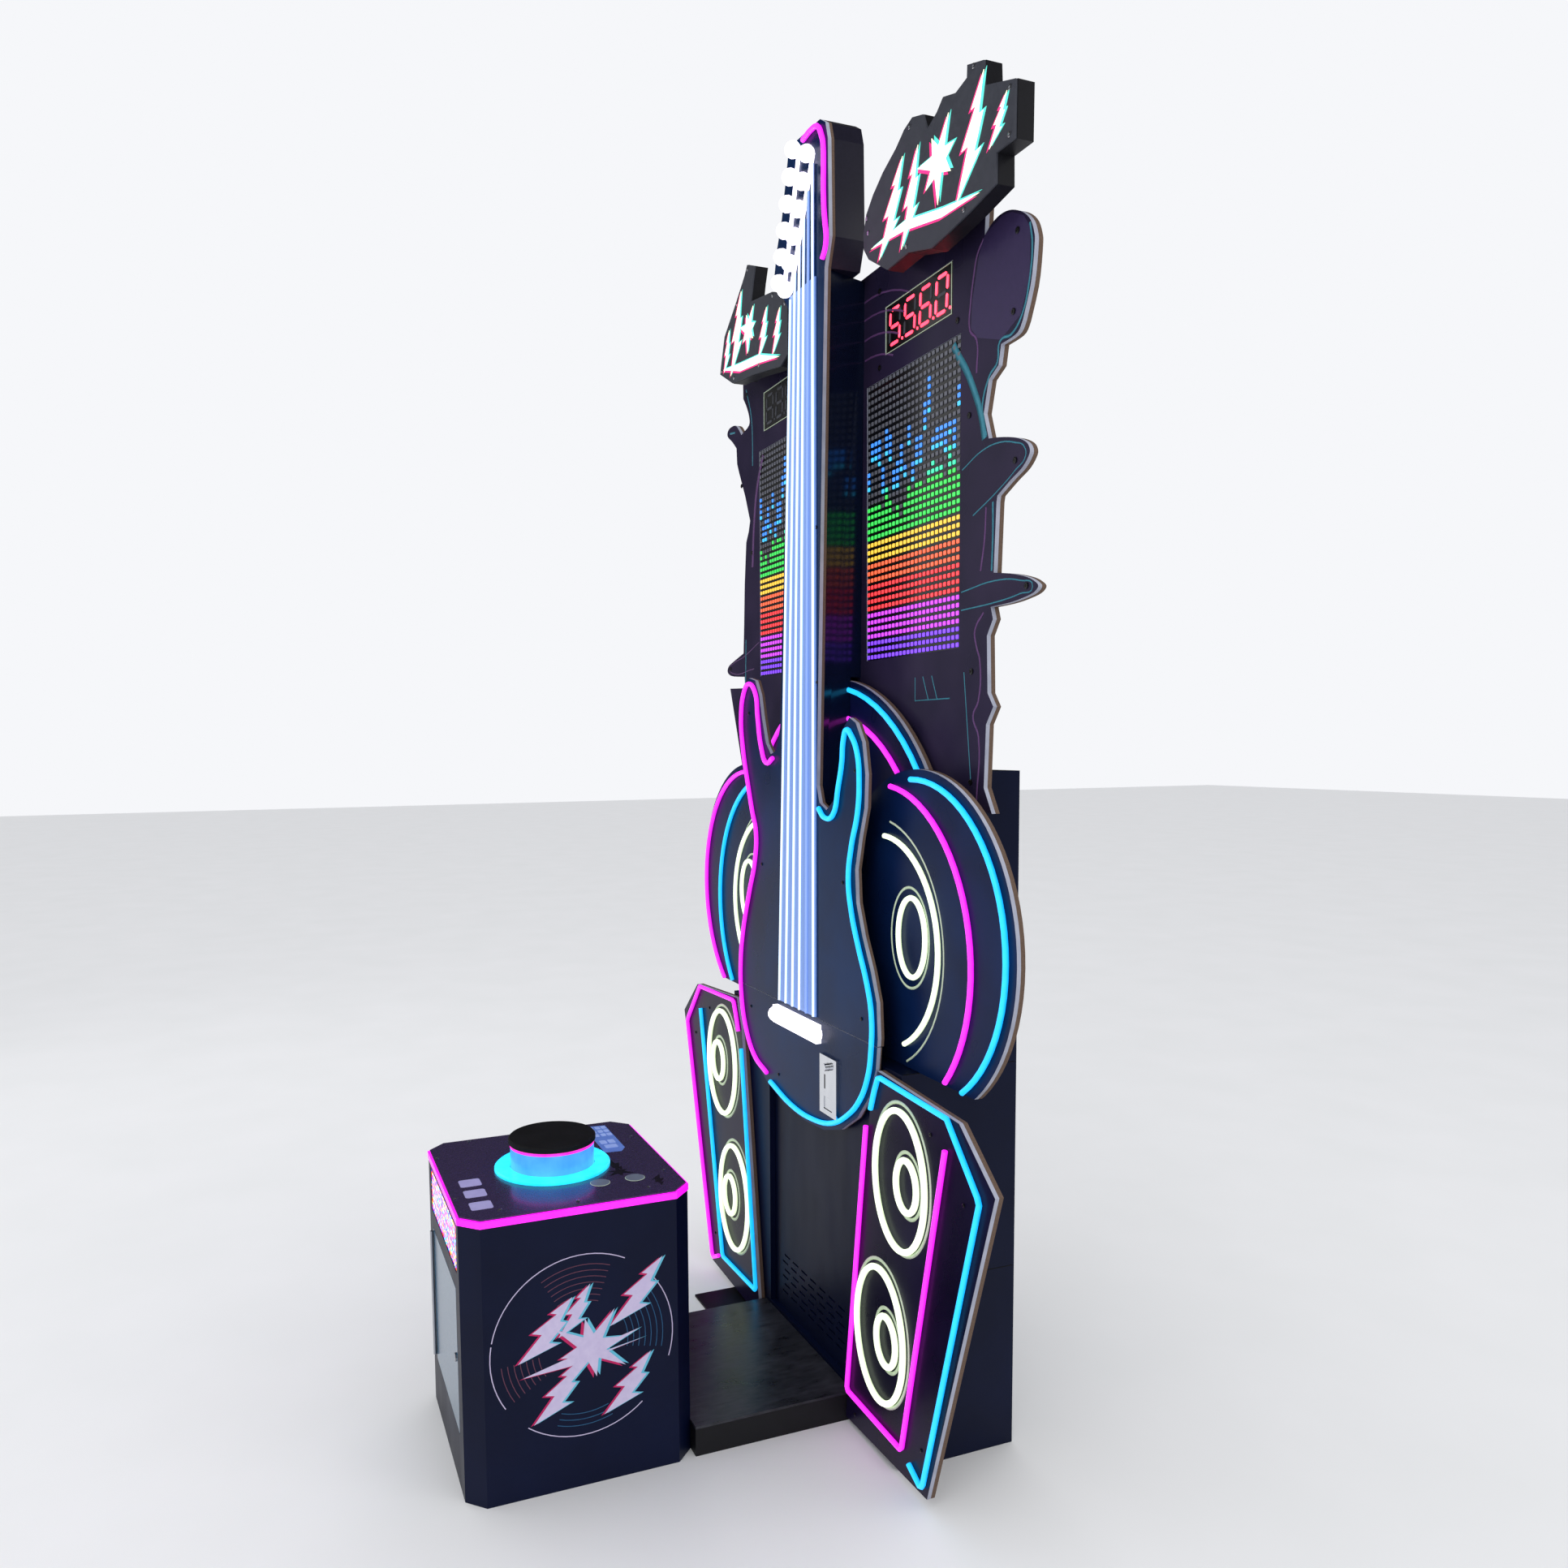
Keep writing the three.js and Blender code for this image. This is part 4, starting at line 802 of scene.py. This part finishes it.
# ---------------------------------------------------------------- bolts and bursts
BOLT = [(-0.12, 0.0), (0.02, 0.44), (-0.10, 0.42), (0.10, 0.74), (0.02, 0.73), (0.20, 1.0),
        (0.17, 0.66), (0.25, 0.67), (0.14, 0.36), (0.26, 0.38)]


def bolt(x, z, length, tilt, stretch=1.0):
    c, t = math.cos(math.radians(tilt)), math.sin(math.radians(tilt))
    shape = [(u * length * stretch, v * length) for u, v in BOLT]
    return [(x + c * u - t * v, z + t * u + c * v) for u, v in shape]


def burst(x, z, reach, hollow, spikes, turn=0.0):
    """A star with spikes of uneven length."""
    points = []
    for index in range(spikes * 2):
        angle = math.radians(turn + 180 * index / spikes)
        radius = hollow if index % 2 else reach * (1.0 if index % 4 else 0.72)
        points.append((x + radius * math.cos(angle), z + radius * math.sin(angle)))
    return points


def shifted(outlines, dx, dz):
    return [[(x + dx, z + dz) for x, z in points] for points in outlines]


def bold_art(tag, outlines, plane, inks, offset):
    """One picture in three layers: a red shadow to one side, a blue one to the other, and the
    pale top."""
    red, blue, pale = inks
    plates(f"art_red_{tag}", shifted(outlines, -offset, -offset * 0.3), plane, 0.4, red)
    plates(f"art_blue_{tag}", shifted(outlines, offset, offset * 0.2), plane, 0.7, blue)
    plates(f"art_pale_{tag}", outlines, plane, 1.0, pale)


sign_inks = (lit_acrylic("sign_magenta", "#e0186c", "#f03a88", 1.0, 0.4),
             lit_acrylic("sign_teal", "#3cc8b4", "#78e0d2", 1.0, 0.4),
             lit_acrylic("sign_cream", "#f2eec0", "#fbf8dc", 1.5, 0.4))
sign = front_plane(SIGN_FACE)
RIGHT_ART = [bolt(335, 2562, 185, -14, 0.9), bolt(425, 2552, 180, -6, 0.8),
             burst(548, 2664, 80, 28, 7, 12), bolt(636, 2556, 205, -8, 0.9),
             bolt(728, 2606, 88, -20, 0.9), [(280, 2602), (420, 2586), (560, 2556), (690, 2548),
                                             (560, 2572), (420, 2604)]]
LEFT_ART = [bolt(-566, 2590, 105, -6, 0.9), bolt(-506, 2566, 205, -6, 0.9),
            burst(-400, 2652, 60, 23, 7, 5), bolt(-318, 2556, 118, -8, 1.0),
            bolt(-228, 2540, 104, -6, 1.0), [(-585, 2600), (-460, 2562), (-330, 2546), (-200, 2524),
                                             (-330, 2566), (-460, 2582)]]
bold_art("sign_right", RIGHT_ART, sign, sign_inks, 9)
bold_art("sign_left", LEFT_ART, sign, sign_inks, 9)

# The side art inks carry a faint painted glow (strength 0.1 to 0.12), though the print is no lamp.
side_inks = (printed_ink("side_red", "#a81450", "#c41c62", 0.4, 0.1),
             printed_ink("side_blue", "#4fa8c4", "#6cc0d8", 0.4, 0.1),
             printed_ink("side_white", "#b4a8cc", "#cbc2dc", 0.4, 0.12))
SIDE_ART = [bolt(-120, 285, 160, -24, 1.1), bolt(-40, 330, 120, -16, 1.0),
            bolt(75, 330, 170, -24, 1.0), burst(15, 300, 92, 30, 8, 10),
            bolt(-90, 150, 150, -20, 1.1), bolt(60, 140, 150, -22, 1.1), [(-130, 262), (-20, 290),
                                                                          (120, 322), (40, 286),
                                                                          (130, 300), (-30, 268)]]
bold_art("side", SIDE_ART, SIDE_PLANE, side_inks, 7)
rose_ink = printed_ink("rose_ink", "#5c3348", "#74465a", 0.4)
blue_ink = printed_ink("blue_ink", "#1f4a74", "#2f6890", 0.4)
RECORD_Z, RECORD_EDGE = 308, 196
GROOVES = tuple(range(96, 186, 13))


def record(radius, start, end):
    return arc(0, RECORD_Z, radius, start, end)


EDGE_SPANS = ((168, 62), (38, -18), (-50, -128), (-148, -190))
line_work("record_edge", [record(RECORD_EDGE, *span) for span in EDGE_SPANS], 2.4, SIDE_PLANE,
          side_inks[2])
line_work("record_grooves_rose", [record(r, 120, 70) for r in GROOVES]
          + [record(r, 185, 212) for r in GROOVES], 2.0, SIDE_PLANE, rose_ink)
line_work("record_grooves_blue", [record(r, 32, -12) for r in GROOVES]
          + [record(r, -70, -110) for r in GROOVES[4:]], 2.0, SIDE_PLANE, blue_ink)

# ---------------------------------------------------------------- podium top
# These inks on the top plate carry a painted glow (strength 0.05 to 0.25), though the print is no
# lamp.
lilac_ink = printed_ink("lilac_ink", "#8e88b8", "#a49ecb", 0.3, 0.2)
keypad_ink = printed_ink("keypad_ink", "#4a68b4", "#6482c8", 0.3, 0.25)
key_ink = printed_ink("key_ink", "#7f96d4", "#98aee2", 0.3, 0.25)
grey_ink = printed_ink("grey_ink", "#5a6272", "#747c8c", 0.35, 0.05)
shadow_ink = printed_ink("shadow_ink", "#0e0a18", "#171024", 0.3)
plates("lilac_keys", [rounded(x, -192, 44, 46, 6) for x in (38, 104, 176)], TOP_PLANE, 0.5,
       lilac_ink)
plates("grey_rounds", [ring(147, z, 21, 21, 12) for z in (71, 150)], TOP_PLANE, 0.5, grey_ink)
line_work("round_rims", [ring(147, z, 21, 21, 12) for z in (71, 150)], 2, TOP_PLANE, trim_ink_painted_glow,
          closed=True)
plates("keypad_patch", [[(-234, 132), (-228, 186), (-52, 186), (-30, 172), (-34, 132)]], TOP_PLANE,
       0.4, keypad_ink)
plates("keypad_keys", [rounded(x, z, 20, 12, 3) for x in (-214, -186, -158)
                       for z in (146, 163, 178)] + [rounded(-105, 148, 26, 16, 3),
                                                    rounded(-105, 168, 26, 16, 3),
                                                    rounded(-72, 158, 24, 30, 3)], TOP_PLANE, 0.7,
       key_ink)
plates("top_shadow_art", [bolt(20, 120, 70, -60, 1.4), burst(100, 128, 34, 12, 6),
                          bolt(150, 196, 60, -80, 1.4)], TOP_PLANE, 0.3, shadow_ink)
bright_screw = bare_metal("screw_steel", "#b8bac0", "#dcdde2", 0.2, 4)
PLATE_SCREWS = [(-150, -236), (120, -236), (216, -160), (216, 160), (130, 222), (-120, 222),
                (-236, 136), (-236, -150), (232, 0)]
copies(screw_head(4), [TOP_PLANE @ Matrix.Translation((x * MM, 0, z * MM)) @ FACE_PLAYER for x,
                       z in PLATE_SCREWS], "plate_screws", bright_screw)

# ---------------------------------------------------------------- fixings and panel seams
dark_screw = moulded_plastic("dark_screw", "#08080a", "#131316", 0.3)
face_screws("wing_screws", [(700, 2490), (690, 2350), (570, 2560), (545, 2200), (700, 2080),
                            (740, 1846), (560, 1700), (560, 1480), (-600, 2544), (-640, 2300),
                            (-570, 2100), (-740, 1784), (-640, 1660), (180, 2395), (500, 2395),
                            (180, 2560)], WING_FACE, 6, dark_screw)
face_screws("guitar_screws", [(300, 1500), (-300, 1640), (330, 960), (-300, 860), (110, 2050),
                              (112, 1700), (240, 1250), (-220, 1250), (180, 720), (-120, 720)],
            GUITAR_FACE, 4, dark_screw)
face_screws("speaker_screws", [(s * x, z) for s in (1, -1) for x, z in ((620, 790), (740, 690),
                                                                        (590, 120), (300, 40))],
            SPEAKER_FACE, 4, dark_screw)
face_screws("sign_screws", [(268, 2640), (262, 2672), (440, 2776), (668, 2776), (782, 2684),
                            (782, 2606), (640, 2538), (430, 2552), (-598, 2600), (-404, 2806),
                            (-480, 2742), (-240, 2684), (-166, 2640), (-330, 2540), (-505, 2556)],
            SIGN_FACE, 5, bright_screw)
# Near-black lines along the wall's panel joints: painted shadow in the seams.
painted_seam_shadow = printed_ink("seam_shadow", "#050507", "#0a0a0d", 0.8)
side_wall = Matrix.Translation((TOWER[1][0], 0, 0)) @ Matrix.Rotation(math.pi / 2, 4, "Z")
tower_front, tower_back = TOWER[0][1] / MM, TOWER[1][1] / MM
line_work("wall_seams", [[(tower_front + 4, z), (tower_back - 4, z)] for z in (410, 868)], 2.0,
          side_wall, painted_seam_shadow, thick=0.3)

# ---------------------------------------------------------------- stage, lights and camera
bpy.ops.object.select_all(action="DESELECT")
bpy.ops.mesh.primitive_plane_add(size=60, location=(0, 0, 0))
floor = bpy.context.active_object
floor.name = "studio_floor"
tree, place, shade = blank("pale_floor")
floor.data.materials.append(shade({"Base Color": blend_colours(tree, grain(tree, place, 400),
                                                               linear("#eceded"),
                                                               linear("#f3f3f4")), "Roughness": 0.6,
                                   "Specular IOR Level": 0.2,}))

world = bpy.data.worlds.new("studio")
world.use_nodes = True
# A dim surround in gloss, as in a dark hall, with a bright one behind and over the object.
sky = world.node_tree.nodes["Background"]
sky.inputs["Color"].default_value = linear("#f6f7fa")
gloss = add(world.node_tree, "LightPath").outputs["Is Glossy Ray"]
world.node_tree.links.new(between(world.node_tree, gloss, 1.0, 0.06), sky.inputs["Strength"])
bpy.context.scene.view_settings.view_transform = "Standard"
bpy.context.scene.world = world


def soft_light(name, place, target, size, power):
    lamp = bpy.data.lights.new(name, "AREA")
    lamp.size = size
    lamp.energy = power
    item = bpy.data.objects.new(name, lamp)
    bpy.context.scene.collection.objects.link(item)
    item.location = place
    item.rotation_euler = (Vector(target) - Vector(place)).to_track_quat("-Z", "Y").to_euler()


soft_light("key_light", (3.5, -3.0, 4.5), (0, 0, 1.2), 2.5, 40)
soft_light("fill_light", (-3.5, -3.0, 3.0), (0, 0, 1.0), 2.5, 14)
soft_light("back_light", (3.0, 3.0, 3.5), (0, 0.3, 1.2), 2.0, 16)

AZIMUTH, ELEVATION, ROLL = (math.radians(v) for v in (68.12, 4.90, -0.471))
forward = Vector((-math.sin(AZIMUTH) * math.cos(ELEVATION), math.cos(AZIMUTH) * math.cos(ELEVATION),
                  -math.sin(ELEVATION)))
level = forward.cross(Vector((0, 0, 1))).normalized()
above = level.cross(forward)
right = math.cos(ROLL) * level + math.sin(ROLL) * above
up = -math.sin(ROLL) * level + math.cos(ROLL) * above
camera_data = bpy.data.cameras.new("camera")
camera_data.lens = 27.31
camera_data.sensor_width = 36
camera_data.shift_x = 0.0298
camera_data.shift_y = 0.0397
camera = bpy.data.objects.new("camera", camera_data)
bpy.context.scene.collection.objects.link(camera)
turn = Matrix((right, up, -forward)).transposed().to_4x4()
camera.matrix_world = Matrix.Translation((2.6012, CASE_REAR - 0.8334, 1.5595)) @ turn
bpy.context.scene.camera = camera
